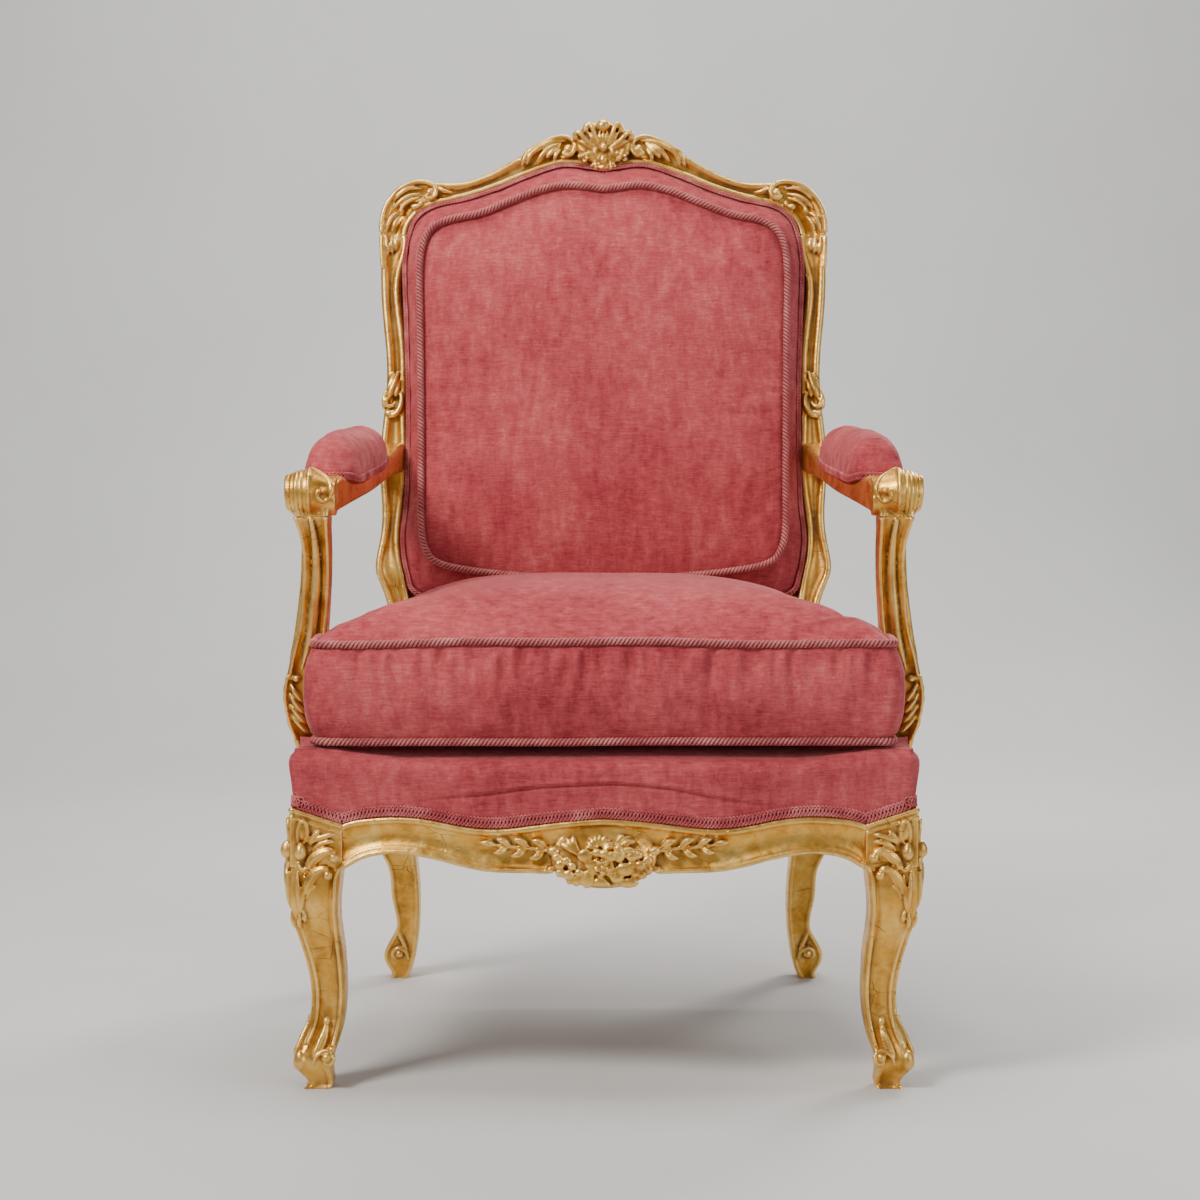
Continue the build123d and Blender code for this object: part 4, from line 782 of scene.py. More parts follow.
# Stuffed back: right halves of its outlines at the wood and at the piping, X and T
OPENING = np.array([
    (0.0, 516.5), (16.0, 519.0), (50.0, 521.5), (89.0, 509.0), (127.0, 493.0), (165.0, 480.5), (200.0, 472.5),
    (220.5, 460.5), (231.5, 440.0), (237.5, 400.0), (235.0, 330.0), (232.0, 231.0), (233.0, 125.0),
    (237.5, 72.0), (231.5, 30.0), (219.0, 6.0), (165.0, -8.0), (80.0, -13.5), (0.0, -15.0)])
PIPING = np.array([
    (0.0, 481.0), (16.0, 483.0), (44.0, 485.5), (76.0, 479.0), (109.0, 466.0), (146.0, 451.5), (181.0, 444.0),
    (200.0, 434.0), (210.0, 414.5), (213.0, 380.0), (212.0, 325.0), (210.5, 231.0), (209.5, 128.0),
    (209.0, 84.0), (204.0, 57.0), (189.0, 42.0), (146.0, 33.0), (72.0, 26.0), (0.0, 23.0)])
BACK_MIDDLE, PIPING_N = np.array([0.0, 252.0]), -32.0


def fine(half, count=720):
    """Closed outline, its points following the given ones evenly."""
    p = np.concatenate([half, half[-2:0:-1] * (-1, 1)])
    return np.concatenate(curve(np.concatenate([p[-1:], p, p[:2]]), count // len(p)))


def inset(ring, amount):
    """Outline drawn in along its normals."""
    return ring + rightward(along(ring)) * amount


def on_back(ring, n):
    return back(ring[:, 0], ring[:, 1], n)


BACK_EDGE, BACK_PIPING = fine(OPENING), fine(PIPING)


def back_pad():
    edge, piping = inset(BACK_EDGE, 2.0), BACK_PIPING
    run = run_of(piping)
    rings = [on_back(edge, n) for n in (18.0, 9.0, 1.0)]
    for share in np.linspace(0.04, 1.0, 17):
        bulge = 3.2 * sin(pi * share) ** 0.8
        n = 0.5 - 32.5 * share - bulge + ripple(run / 31.0, run / 17.0) * 0.7 * sin(pi * share)
        rings.append(on_back(edge * (1 - share) + piping * share, n))
    for w in np.linspace(0, 1, 30)[1:] ** 1.5 * 0.985:
        ring = BACK_MIDDLE + (piping - BACK_MIDDLE) * (1 - w)
        n = PIPING_N - 17.5 * (1 - (1 - w) ** 2.4) ** 0.7
        x, t = ring.T
        dents = ripple(x / 53.0 + t / 97.0, t / 61.0 - x / 83.0, x / 37.0) * 1.5 * min(1.0, 5 * w)
        rings.append(on_back(ring, n + dents + ripple(run / 10.0, run / 6.3) * 0.9 * drawn(w, 0.07, 0.012)))
    return np.stack(rings)


def back_held(p):
    """Points of the back cover along its piping and at the wood."""
    n = (p[:, 1] - BACK_Y) * cos(RAKE) - (p[:, 2] - BACK_Z) * sin(RAKE)
    return (n > -3.0) | (abs(n - PIPING_N) < 3.0)


pad = build("back_pad", [capped(back_pad())])
swell(pad, back_held, lambda p: np.full(len(p), 4.0), 3.0, 0.012)
place(pad, VELVET, "velvet", "frame", "back_border", "back_panel", "back_stuffing")
corded("back_rope", even(on_back(inset(BACK_PIPING, -3.0), -36.2), 1500), "frame", "back_cord")


def flat_braid(ring, n, out):
    """Braid on an outline of the back, its face turned towards out, as shares of outward and forward."""
    ring = even(ring, 2000)
    outward = -rightward(along(ring))
    away = outward[:, :1] * RIGHT + outward[:, 1:] * BACK_UP
    face, across = unit(away * out[0] + BACK_OUT * out[1]), unit(away * out[1] - BACK_OUT * out[0])
    return braid(on_back(ring, n), across, face, FINE_GIMP)


gimp = build("back_braid", flat_braid(inset(BACK_EDGE, 2.2), -3.2, (0.75, 0.66)))
place(gimp, GIMP, "gimp_braid", "frame", "back_gimp")


# Outside back: one stretched sheet, edged with braid
outside = inset(BACK_EDGE, -16.0)
rings = [on_back(outside, 35.6)]
for w in np.linspace(0.01, 0.99, 24):
    ring = BACK_MIDDLE + (outside - BACK_MIDDLE) * (1 - w)
    slack = ripple(ring[:, 0] / 60 + ring[:, 1] / 75, ring[:, 1] / 48) * 0.35 * min(1, 4 * w)
    rings.append(on_back(ring, 36.4 - 0.6 * (1 - (1 - w) ** 2) + slack))
sheet = build("outside_back_cloth", [filled(rings)])
place(sheet, VELVET, "velvet", "frame", "outside_back")
gimp = build("outside_back_braid", flat_braid(inset(outside, 3.8), 36.6, (0.0, -1.0)))
place(gimp, GIMP, "gimp_braid", "frame", "outside_back_gimp")

# Arms and their pads: Y, inner edge, width, underside, height; Y, overhang, height of the pad
ARM = np.array([
    (84.0, 273.0, 46.0, 575.0, 40.0), (110.0, 267.5, 46.0, 579.0, 33.0), (150.0, 261.0, 46.0, 584.0, 23.0),
    (280.0, 249.0, 46.0, 595.0, 22.0), (400.0, 242.0, 42.0, 606.0, 24.0), (450.0, 238.5, 36.0, 609.0, 29.0),
    (522.0, 234.0, 27.0, 612.0, 33.0)])
ARM_PAD = np.array([(114.0, -4.0, 30.0), (130.0, 2.5, 44.0), (165.0, 5.0, 51.0), (240.0, 5.0, 50.0),
                    (320.0, 4.5, 45.0), (362.0, 1.0, 34.0), (376.0, -6.0, 20.0)])


def arm_at(y):
    """Middle, half width and flat of the right arm."""
    inner, width, under, height = (np.interp(y, ARM[:, 0], column) for column in ARM.T[1:])
    return inner + width / 2, width / 2, under + height - 2.0


def arm_pad():
    crowded = np.linspace(0, 1, 16) ** 1.8
    angle = np.linspace(0, pi, 41)
    over, high = (spline(ARM_PAD[:, [0, k]], 300).T for k in (1, 2))
    rings = []
    for y in np.concatenate([114 + crowded * 50, np.linspace(170, 315, 34), 376 - crowded[::-1] * 55]):
        middle, half, base = arm_at(y)
        front, rear = min(1.0, (y - 113.5) / 42), min(1.0, (376.5 - y) / 36)
        ends = (1 - (1 - front) ** 2) ** 0.5 * (1 - (1 - rear) ** 2) ** 0.5
        px = np.sign(np.cos(angle)) * abs(np.cos(angle)) ** 0.86 * (half + np.interp(y, *over)) * 1.03
        px *= 0.62 + 0.38 * ends
        pz = np.sin(angle) ** 0.84 * np.interp(y, *high) * (0.22 + 0.78 * ends)
        px *= 1 - 0.05 * bell(pz, 6.0)
        dent = 1 + 0.012 * ripple(angle * 3 + y / 21, np.full_like(angle, y / 13.0))
        ring = np.stack([middle + px * dent, np.full_like(px, y), base + 0.3 + pz * dent], 1)
        flat = np.linspace(px[-1], px[0], 9)[1:-1] + middle
        flat = np.stack([flat, np.full_like(flat, y), np.full_like(flat, base + 0.2)], 1)
        rings.append(np.concatenate([ring, flat]))
    return np.stack(rings)


def pad_braid():
    """Braid along the lower edge of the right arm pad, all the way round."""
    y = np.linspace(121, 369, 120)
    middle, half, base = arm_at(y)
    half = half + np.interp(y, ARM_PAD[:, 0], ARM_PAD[:, 1]) - 0.6
    outer, inner = (np.stack([middle + side * half, y, base + 3.8], 1) for side in (1, -1))

    def end(a, b, bulge):
        s = np.linspace(0, 1, 24)[1:-1, None]
        line = a * (1 - s) + b * s
        line[:, 1] += bulge * (1 - (2 * s[:, 0] - 1) ** 2) ** 0.5
        return line

    loop = [outer, end(outer[-1], inner[-1], 7.0), inner[::-1], end(inner[0], outer[0], -7.5)]
    path = even(np.concatenate(loop), 900)
    out = level(rightward(along(path)))
    if ((path - path.mean(0)) * out).sum() < 0:
        out = -out
    return braid(path, np.tile(UP, (len(path), 1)), out, FINE_GIMP)


pad_points, braid_points = capped(arm_pad()), pad_braid()
for side, turn in (("right", lambda p: p), ("left", mirrored)):
    piece = build(f"arm_pad_{side}", turn([pad_points]))
    swell(piece, lambda p: p[:, 2] < arm_at(p[:, 1])[2] + 8.0, lambda p: np.full(len(p), 2.5), 3.0, 0.02, 4.0)
    place(piece, VELVET_FLAT, "velvet", "frame", f"arm_pad_cover_{side}", f"arm_pad_stuffing_{side}")
    piece = build(f"arm_pad_braid_{side}", turn(braid_points))
    place(piece, GIMP, "gimp_braid", "frame", f"arm_pad_gimp_{side}")


# Carving: closed lobes, leaves, scrolls and flowers that are fused with the wood
def lobe(centre, axis, width, depth, out, taper=0.0):
    """Egg with a half length and direction, a half width across and a half depth outward."""
    side = unit(np.cross(unit(axis), out))
    a, b = np.linspace(0.12, pi - 0.12, 9), np.arange(12) * pi / 6
    fat = (np.sin(a) * (1 - taper * np.cos(a)))[:, None, None]
    ring = np.cos(b)[:, None] * side * width + np.sin(b)[:, None] * out * depth
    return capped(centre + np.cos(a)[:, None, None] * axis + fat * ring)


def leaf(points, width):
    """Leaf along a line on a front face: raised halves, a sunk vein and a tip that curls outward."""
    path = spline(points, 34)
    s, u = np.linspace(0, 1, len(path)), np.linspace(-1, 1, 13)
    side = unit(np.cross(unit(np.gradient(path, axis=0)), FRONT))[:, None]
    root = 0.3 * (1 - s)
    half = width * (root + np.sin(pi * np.clip(s, 0.02, 0.98) ** 0.75) ** 0.8 * (1 - root))[:, None]
    rise = (1 - u ** 2) ** 0.6 * (1 - 0.6 * bell(u, 0.2)) * (1 - 0.12 * np.cos(u * 14))
    tall = 3.8 * (0.45 + 0.55 * np.sin(pi * np.clip(s, 0.05, 0.95)))[:, None]
    path = (path + FRONT * (s ** 3)[:, None])[:, None]
    top = path + side * (half * u)[..., None] + FRONT * (tall * rise)[..., None]
    low = path + side * (half * u[::-1] * 0.9)[..., None] - FRONT * 3.0
    return capped(np.concatenate([top, low], 1))


def flower(centre, up, out, size, petals, turn):
    """Open flower: two rings of petals round a button."""
    pieces = []
    for shift, reach, wide, lift, count in ((0.0, 0.62, 0.34, 0.1, petals), (0.5, 0.34, 0.24, 0.3, petals - 1)):
        for k in range(count):
            a = turn + 2 * pi * (k + shift) / count
            way = cos(a) * RIGHT + sin(a) * up
            pieces.append(lobe(centre + way * size * reach + out * size * lift,
                               unit(way * 0.9 + out * 0.35) * size * 0.4, size * wide, size * 0.2, out, -0.25))
    pieces.append(lobe(centre + out * size * 0.42, RIGHT * size * 0.2, size * 0.2, size * 0.2, out))
    return pieces


# Kinds of ornament that take a line of points and the way out of the wood
def bud(points, out, axis, width, depth, taper=0.0):
    return [lobe(points[0], axis, width, depth, out, taper)]


def strip(points, out, radius, sides=8):
    """Raised moulding or stem along a line, the same on all sides."""
    return [tube(spline(points, 60), radius, sides)]


def ball(path, out, tip):
    """Curled tip at the end of a path, if it has a size."""
    return [lobe(path[-1] + out * 0.25 * tip, unit(path[-1] - path[-6]) * tip, tip, tip, out)] if tip else []


def finger(points, out, thick, tip=0.0, start=0.45):
    """Rounded leaf finger along a line, thickest past its middle unless it ends in a ball."""
    path = spline(points, 44)
    s = np.linspace(0, 1, len(path))
    if tip:
        return [tube(path, thick * (start + (1 - start) * s), 10)] + ball(path, out, tip)
    rise, fall = start + (1 - start) * np.sin(pi / 2 * s / 0.6), 1.0 - 0.45 * ((s - 0.6) / 0.4) ** 2
    return [tube(path, thick * np.where(s < 0.6, rise, fall) * np.minimum(1.0, (1.02 - s) / 0.16) ** 0.5, 10)]


def plume(points, out, thick, tip):
    """Curling leaf of three ribs along a line, with a ball at its tip."""
    path = spline(points, 44)
    s = np.linspace(0, 1, len(path))
    side = unit(np.cross(np.gradient(path, axis=0), out))
    pieces = []
    for across in (-1, 0, 1):
        spread = across * 0.62 * thick * np.sin(pi * (0.12 + 0.8 * s) ** 0.8)
        rib = path + side * spread[:, None] + out * (0.0 if across else 0.3 * thick)
        pieces.append(tube(rib, thick * 0.52 * np.minimum(1.0, (1.03 - s) / 0.2) ** 0.5, 8))
    return pieces + ball(path, out, tip)


def laid(at, out, *rows):
    """Ornaments on a surface: each row has a kind, its sizes and its points, which a rule puts there."""
    pieces = []
    for kind, sizes, *line in rows:
        pieces += kind([at(*point) for point in line], out, *(sizes if isinstance(sizes, tuple) else (sizes,)))
    return pieces


def carved(name, node, ornaments, voxel=1.1, before=None, after=None):
    """A CAD piece's form with its carving, fused into one skin, shaped before and after by the given rules."""
    bare = NODES[node].data.copy()
    if before:
        worked(bare, before)
    obj = build(name, [(np.zeros((0, 3)), [])] + ornaments)
    bm = bmesh.new()
    bm.from_mesh(obj.data)
    bm.from_mesh(bare)
    bm.to_mesh(obj.data)
    bm.free()
    skinned(obj, voxel)
    relaxed(obj, 1)
    mesh = fixed(obj)
    if after:
        worked(mesh, after)
    hollows(mesh)
    return place(obj, GOLD, "giltwood", "frame", node)


def both_sides(name, ornaments, **settings):
    """Carve the right-hand piece and mirror it for the left."""
    mesh = carved(f"{name}_gilt_right", f"{name}_right", ornaments, **settings).data.copy()
    mesh.transform(Matrix.Scale(-1, 4, (1, 0, 0)))
    mesh.flip_normals()
    left = linked(bpy.data.objects.new(f"{name}_gilt_left", mesh))
    place(left, GOLD, "giltwood", "frame", f"{name}_left")


# Front legs: bud and curling leaves on the knee, leaf and volute on the foot, on both show faces
LEG_X, LEG_Y, DIAGONAL = 286.0, 2.0, unit(np.array([1.0, -1.0, 0.0]))
# Z, how far the middle lies out along both axes, width
LEG = np.array([
    (0.0, 2.0, 28.0), (20.0, 4.0, 34.0), (31.0, 4.5, 37.5), (48.0, -2.5, 35.0), (67.0, -8.3, 32.0),
    (91.0, -10.4, 32.2), (114.0, -9.2, 34.0), (140.0, -5.6, 38.2), (166.0, 0.0, 43.2), (191.0, 2.6, 48.0),
    (212.0, 1.6, 50.4), (232.0, 0.0, 51.6), (300.0, 0.0, 52.0)])


def leg_at(z):
    """Place of the right leg's middle along its diagonal, and half its width."""
    return np.interp(z, LEG[:, 0], LEG[:, 1]), np.interp(z, LEG[:, 0], LEG[:, 2]) / 2


def knee(x, z, out):
    """A point in front of the right leg's front face."""
    middle, half = leg_at(z)
    return np.array([x, LEG_Y - middle - half - (out + 1.4), z])


def leg_corner(z, out):
    """A point off the right leg's outer corner."""
    middle, half = leg_at(z)
    return np.array([LEG_X + middle + half, LEG_Y - middle - half, z]) + DIAGONAL * out


def to_side(pieces):
    """The same carving on the leg's outer face, mirrored about its outward diagonal."""
    turned = []
    for points, faces in pieces:
        p = points.copy()
        p[:, 0], p[:, 1] = LEG_X - (points[:, 1] - LEG_Y), LEG_Y - (points[:, 0] - LEG_X)
        turned.append((p, [face[::-1] for face in faces]))
    return turned


def edge_bead(side, inset, lift, heights):
    return [(LEG_X + leg_at(z)[0] + side * (leg_at(z)[1] - inset), z, lift) for z in heights]


def leg_carving():
    rim = [(x, block_edge(x - LEG_INNER) - 9.5, -1.4) for x in (260.6, 275, 290, 311)]
    face = laid(
        knee, FRONT,
        (finger, 2.4, (303.5, 250, 0), (304, 262, 1), (300.5, 271.5, 1.5), (296, 270, 1.5), (294.5, 260, 1),
         (298, 249, 0)),
        (bud, (UP * 9.0, 3.2, 3.6), (299.5, 262, 0)),
        (bud, (UP * 9.0, 6.0, 7.0, 0.2), (301, 242.5, 2.6)),
        (finger, 2.6, (294, 250.5, 0), (287.5, 257.5, 2), (282, 263, 2.2)),
        (finger, 2.7, (292.5, 248.5, 0), (285, 254.5, 2.6), (273.5, 258.2, 3), (266.5, 259.4, 2.4)),
        (finger, 2.6, (290.5, 242.5, 0), (283.5, 248.5, 2.2), (274, 251.8, 2.8), (267, 251.6, 2.4)),
        (plume, (5.2, 5.2), (293.5, 225, 0), (287.5, 235, 3), (277, 241.8, 4), (269.5, 241, 4),
         (267.6, 235.6, 3)),
        (plume, (4.8, 4.8), (296.5, 200.5, 0), (292.5, 212, 2.5), (286, 221, 3.5), (277.5, 224.8, 4),
         (273.8, 218.4, 3)),
        (finger, 2.6, (295, 194.5, 0), (292.5, 203, 1.5), (285.5, 208.5, 2)),
        (finger, 2.3, (304, 230, 1), (298.5, 223.5, 2), (292.5, 228.5, 1)),
        (finger, 2.7, (304.4, 221, 0.5), (304, 208, 1), (303, 196, 0.5), (302, 181, -1)),
        (finger, 2.6, (297.6, 219, 0.5), (298, 206, 1), (299.6, 193, 0.5), (301, 181, -1)),
        (finger, 2.4, (299, 182, -1), (297.6, 176, 0.5), (297, 170, -0.5)),
        (finger, 2.4, (303, 180, -1), (303.4, 172, 0.5), (302, 163, -1)),
        (strip, 2.3, (256, 231.5, -1.9), *edge_bead(-1, 4.4, -1.3, (218, 200, 180, 150, 120, 95, 75, 58, 44))),
        (strip, 2.0, *edge_bead(1, 5.2, -1.5, (172, 150, 125, 100, 80, 62, 46))),
        (finger, 3.0, (278, 69, 0.5), (280.5, 58, 1.6), (285.5, 46, 2), (290.5, 34, 1.8)),
        (finger, 2.4, (276.5, 66, 0), (278, 56, 1), (281, 46, 1), (284.5, 38.5, 0.5)),
        (bud, (UP * 4.2, 3.8, 3.6), (278, 68, 1)),
        (finger, 2.4, (290.5, 26, 0), (287.5, 34.5, 2), (279.5, 40.6, 2.5), (271.5, 37.5, 2), (270.4, 31, 1.5),
         (275, 26.6, 1), (281, 29, 1)),
        (bud, (RIGHT * 5.0, 5.0, 4.6), (277, 33.5, 0)),
        (strip, 1.6, *rim),
        (strip, 2.4, *[(x, z + 6.8, -1.8) for x, z, _ in rim]))
    ridge = laid(leg_corner, DIAGONAL, (bud, (UP * 10, 7.0, 6.0, 0.2), (30, -6.5)),
                 (finger, 3.2, (84, -5.5), (62, -4.5), (40, -3.5)))
    return face + to_side(face) + ridge


def leg_channel(points):
    """Hollow run down both show faces of the right leg, between its edge beads."""
    p = points.copy()
    x, y, z = points.T
    middle, half = leg_at(z)
    fade = np.clip((z - 66) / 14, 0, 1) * np.clip((190 - z) / 26, 0, 1)
    front, outer = y - (LEG_Y - middle - half), LEG_X + middle + half - x
    for axis, inward, depth, across in ((1, 1, front, x - LEG_X), (0, -1, outer, LEG_Y - y)):
        share = (across - middle + half) / (2 * half)
        dip = np.sin(pi * np.clip((share - 0.19) / 0.58, 0, 1)) ** 0.6 * np.clip(1 - depth / 9.0, 0, 1)
        p[:, axis] += inward * 2.4 * dip * fade
    return p


both_sides("front_leg", leg_carving(), voxel=1.0, after=leg_channel)

# Front rail: bouquet in the middle and a leafy sprig on each side
RAIL_FACE, BOSS_HALF = -34.0, 56.0      # Y of the rail's face in the middle, half width of the boss on it
# petals and buds of the bouquet: X, Z, half width, half height, reach
PETALS = (
    (-19, 241, 6.2, 6, 13), (-6.5, 244, 4.6, 3.6, 14), (0.5, 243, 4.6, 3.8, 15), (6.5, 240.5, 5, 4.6, 15.5),
    (14.5, 241, 5.2, 5.8, 14), (14, 247.5, 4, 3.8, 13), (23.5, 246, 6.2, 3.2, 12), (27.5, 240, 5, 4.2, 13),
    (33.5, 241.5, 4, 3.6, 12), (35.5, 231, 4.8, 4.4, 12.5), (37.5, 221.8, 4.2, 4, 10.5),
    (43.5, 226.5, 4, 4.6, 9.5), (20.5, 227.5, 7.4, 6, 13.5), (27.5, 231.5, 4.6, 3.6, 12.5),
    (23.5, 214, 9, 4.6, 11), (12.5, 219, 5.6, 4.4, 13.5), (-16.5, 217.5, 5.8, 8, 12),
    (-24.5, 224, 4, 3.6, 12), (-31.6, 230.5, 3.6, 3.4, 13.5), (-37, 235.5, 4.4, 3.6, 11.5),
    (-43.5, 231.5, 4.2, 4, 10.5), (-42.5, 223.5, 4.6, 4, 10.5), (-35, 221.5, 4.6, 4.6, 11.5),
    (-27, 216, 4, 5.2, 10.5), (-33.5, 215.5, 3.4, 3.2, 9.5), (-12.5, 232.5, 5.6, 4.6, 13),
    (-11.5, 225.5, 4.2, 4, 12), (30.5, 223.5, 4.4, 4, 11.5), (43, 236, 4.4, 4, 10),
    (-46.5, 239, 4.4, 3.4, 9))


def boss_ground(z):
    """How far the boss stands forward: its lower part does, its upper rim runs back into the rail."""
    share = np.clip(1 - (np.asarray(z, float) - 236.0) / 20.0, 0, 1)
    return 8.0 * share - 3.4 * (1 - share)


def boss_rim(points):
    """The boss of the CAD piece, drawn back at its upper rim."""
    p = points.copy()
    boss = (p[:, 1] < RAIL_FACE - 0.4) & (abs(p[:, 0]) < BOSS_HALF)
    p[boss, 1] = RAIL_FACE - np.minimum(boss_ground(p[boss, 2]), RAIL_FACE - p[boss, 1])
    return p


def on_rail(x, z, out):
    return np.array([x, float(front_y(x)) - out, z])


def on_boss(x, z, out):
    return on_rail(x, z, float(boss_ground(z)) + out)


def rail_carving():
    pieces = []
    for k in range(9):
        a = radians(90 + (k - 4) * 21)
        ray = [(-4.0 + r * 1.12 * cos(a), 246.5 + r * sin(a), out)
               for r, out in ((2.0, 2.0), (7.0, 3.5), (13.5, 3.6))]
        pieces += laid(on_boss, FRONT, (finger, 2.2, *ray))
    pieces += laid(
        on_boss, FRONT,
        (finger, 3.2, (-24, 240, 1.5), (-33, 246, 3.5), (-44, 252.5, 3.2)),
        (finger, 3.0, (-24, 243, 1.5), (-29, 251, 3.5), (-31, 259.5, 3.2)),
        (finger, 2.8, (-25, 241.5, 1.5), (-32, 250, 3.5), (-38, 257, 3.2)),
        (finger, 3.0, (11, 249, 1.5), (15, 255, 3.5), (19, 260.5, 3.2)),
        (finger, 3.0, (13, 247, 1.5), (22, 252, 3.5), (31.5, 253.5, 3.2)),
        (finger, 2.8, (12, 248, 1.5), (19, 254, 3.5), (26, 258, 3.2)))
    for x, z, wide, high, reach in PETALS:
        pieces += laid(on_rail, FRONT, (bud, (RIGHT * wide * 1.22, high * 1.18, 3.2), (x, z, reach + 0.8)),
                       (bud, (RIGHT * wide * 0.8, high * 0.8, 8.0), (x, z, reach - 6.0)))
    pieces += flower(on_rail(-1.5, 229.5, 12.0), UP, FRONT, 11.5, 6, 0.3)
    pieces += flower(on_rail(7.5, 224.5, 13.5), UP, FRONT, 6.5, 5, 0.8)
    for k in range(5):
        frond = (-4.5, 221, 11), (-8 + k * 2.6, 214, 12.5), (-11 + k * 4.6, 208.5 + abs(k - 2) * 0.5, 9.5)
        pieces += laid(on_rail, FRONT, (finger, 2.3, *frond))
    for side in (1, -1):
        def at(x, z, out):
            return on_rail(side * x, z, out)

        pieces += laid(at, FRONT, (bud, (RIGHT * side * 7.0 + UP * 1.5, 5.2, 6.0), (49.5, 244, 2)),
                       (bud, (RIGHT * 4.0, 3.6, 4.5), (47, 238.5, 4)),
                       (finger, 1.9, (46, 241, 4), (66, 245.5, 0.5), (92, 247.5, -0.5), (118, 250.5, -1)))
        for x, z, dx, dz, wide in ((57, 246, 15, 8.5, 4.2), (60, 243.5, 14, -7.5, 4.2), (75, 247.5, 15, 8, 4),
                                   (78, 245.5, 15, -7, 3.8), (93, 248.5, 14, 7, 3.6), (96, 247, 14, -5.5, 3.4),
                                   (108, 249.5, 16, 2.5, 3.4)):
            line = at(x, z, -1), at(x + dx * 0.5, z + dz * 0.75, 1.2), at(x + dx, z + dz, 0.5)
            pieces.append(leaf(line, wide))
        lip = ((52.5, 223.7), (60, 223.2), (75, 223.8), (95, 224.1), (115, 225), (140, 229.6), (170, 237.2),
               (205, 242.1), (236, 238), (259, 226.2))
        pieces += laid(at, FRONT, (strip, 2.6, *[(*p, -0.3) for p in lip]),
                       (bud, (RIGHT * 4.0, 4.0, 4.0), (53, 225.2, 1)))
    return pieces


carved("front_rail_gilt", "front_rail", rail_carving(), 1.0, before=boss_rim)


# Crest: shell between two leafy scrolls, and the shoulders' scrolls and leaves
def on_wood(x, t, out):
    return back(x, t, -out)


# right half: the shell, the lip that rolls into a volute over an acanthus leaf, and the same on the shoulder
CREST = (
    (finger, (3.8, 3.4), (5, 542, 8.5), (9, 552, 12), (12.5, 562, 13.5), (16, 568, 13), (20.5, 565.5, 11.5),
     (21, 561, 10)),
    (finger, 2.2, (7.2, 542, 8.5), (13, 551, 11), (18, 559, 11)),
    (finger, (3.7, 3.2), (9, 541, 8.5), (17, 546, 11.5), (24.5, 553, 13), (29.5, 558, 12.5), (33.5, 556.5, 10),
     (33, 552, 8.5)),
    (finger, 2.3, (10, 539, 8), (18, 542, 10), (26, 547, 10.5), (31, 549.5, 8)),
    (finger, 2.8, (6.5, 541.5, 8.5), (10.5, 536, 9.5), (10, 530, 8)),
    (finger, 2.6, (15, 537.5, 6), (23, 540.5, 6.5), (31, 541, 4)),
    (strip, (2.9, 10), (94, 535.5, 0), (76, 546.5, 1), (61, 553.5, 1.5), (48, 556, 2), (38, 552, 2.5),
     (34.2, 544, 3),
     (36.6, 535.8, 3), (43, 532.6, 3), (48.6, 536.8, 2.5)),
    (bud, (BACK_UP * 5.8, 5.8, 5.4), (42, 540.5, 1.5)),
    (finger, 3.3, (45, 551.5, 0), (59.7, 550, 2), (74, 543.4, 2.4), (86, 534.7, 2), (91.5, 521.5, 0.5)),
    (finger, 3.1, (50, 547.6, 0), (61, 543.4, 2), (71, 536, 2.2), (79.5, 525.4, 0.5)),
    (finger, 2.9, (51.4, 544.6, 0), (59.7, 539, 2), (68.5, 529.6, 0.5)),
    (finger, 2.5, (51, 541, 0), (55.6, 535, 1.5), (59.5, 527.6, 0.5)),
    (finger, 2.6, (84, 540, 0), (93, 532, 1.8), (97.5, 520, 0)),
    (strip, (2.9, 10), (264.6, 440, -0.5), (263, 459.5, 0.5), (256.6, 476.3, 1.2), (243.6, 491.5, 1.8),
     (228.6, 499.2, 2.2),
     (215, 500.8, 2.4), (204.6, 497.4, 2.6), (199.4, 490.6, 2.8), (201.4, 482.8, 2.8), (207.6, 480.2, 2.6),
     (212.4, 484.4, 2.4)),
    (bud, (BACK_UP * 5.0, 5.0, 4.8), (206.6, 488, 1.5)),
    (finger, 2.7, (216.5, 493, 0), (230.7, 492.6, 1.8), (241, 487.4, 2), (248.6, 479, 1)),
    (finger, 2.8, (218.6, 487, 0), (230.7, 483.7, 1.8), (241, 477.6, 2), (250.6, 467.8, 0.5)),
    (finger, (2.8, 3.2), (219.4, 482, 0), (230.7, 477.6, 1.8), (239.4, 470.5, 2), (241, 465.4, 1.5)),
    (bud, (RIGHT * 5.0, 3.8, 3.4), (224.5, 470.5, 0.5)),
    (bud, (BACK_UP * 4.0, 3.2, 3.2), (217.6, 474.4, 0.5)),
    (finger, 2.7, (243.5, 464.5, 0), (251, 459.6, 1.8), (255.6, 451.2, 1.6), (258.6, 440, 0)),
    (finger, 2.4, (241.5, 459.5, 0), (247.6, 452, 1.4), (251.6, 440, 0)),
    (finger, 2.4, (180, 488.2, -0.5), (190, 490, 1.2), (198, 494, 1.5)))


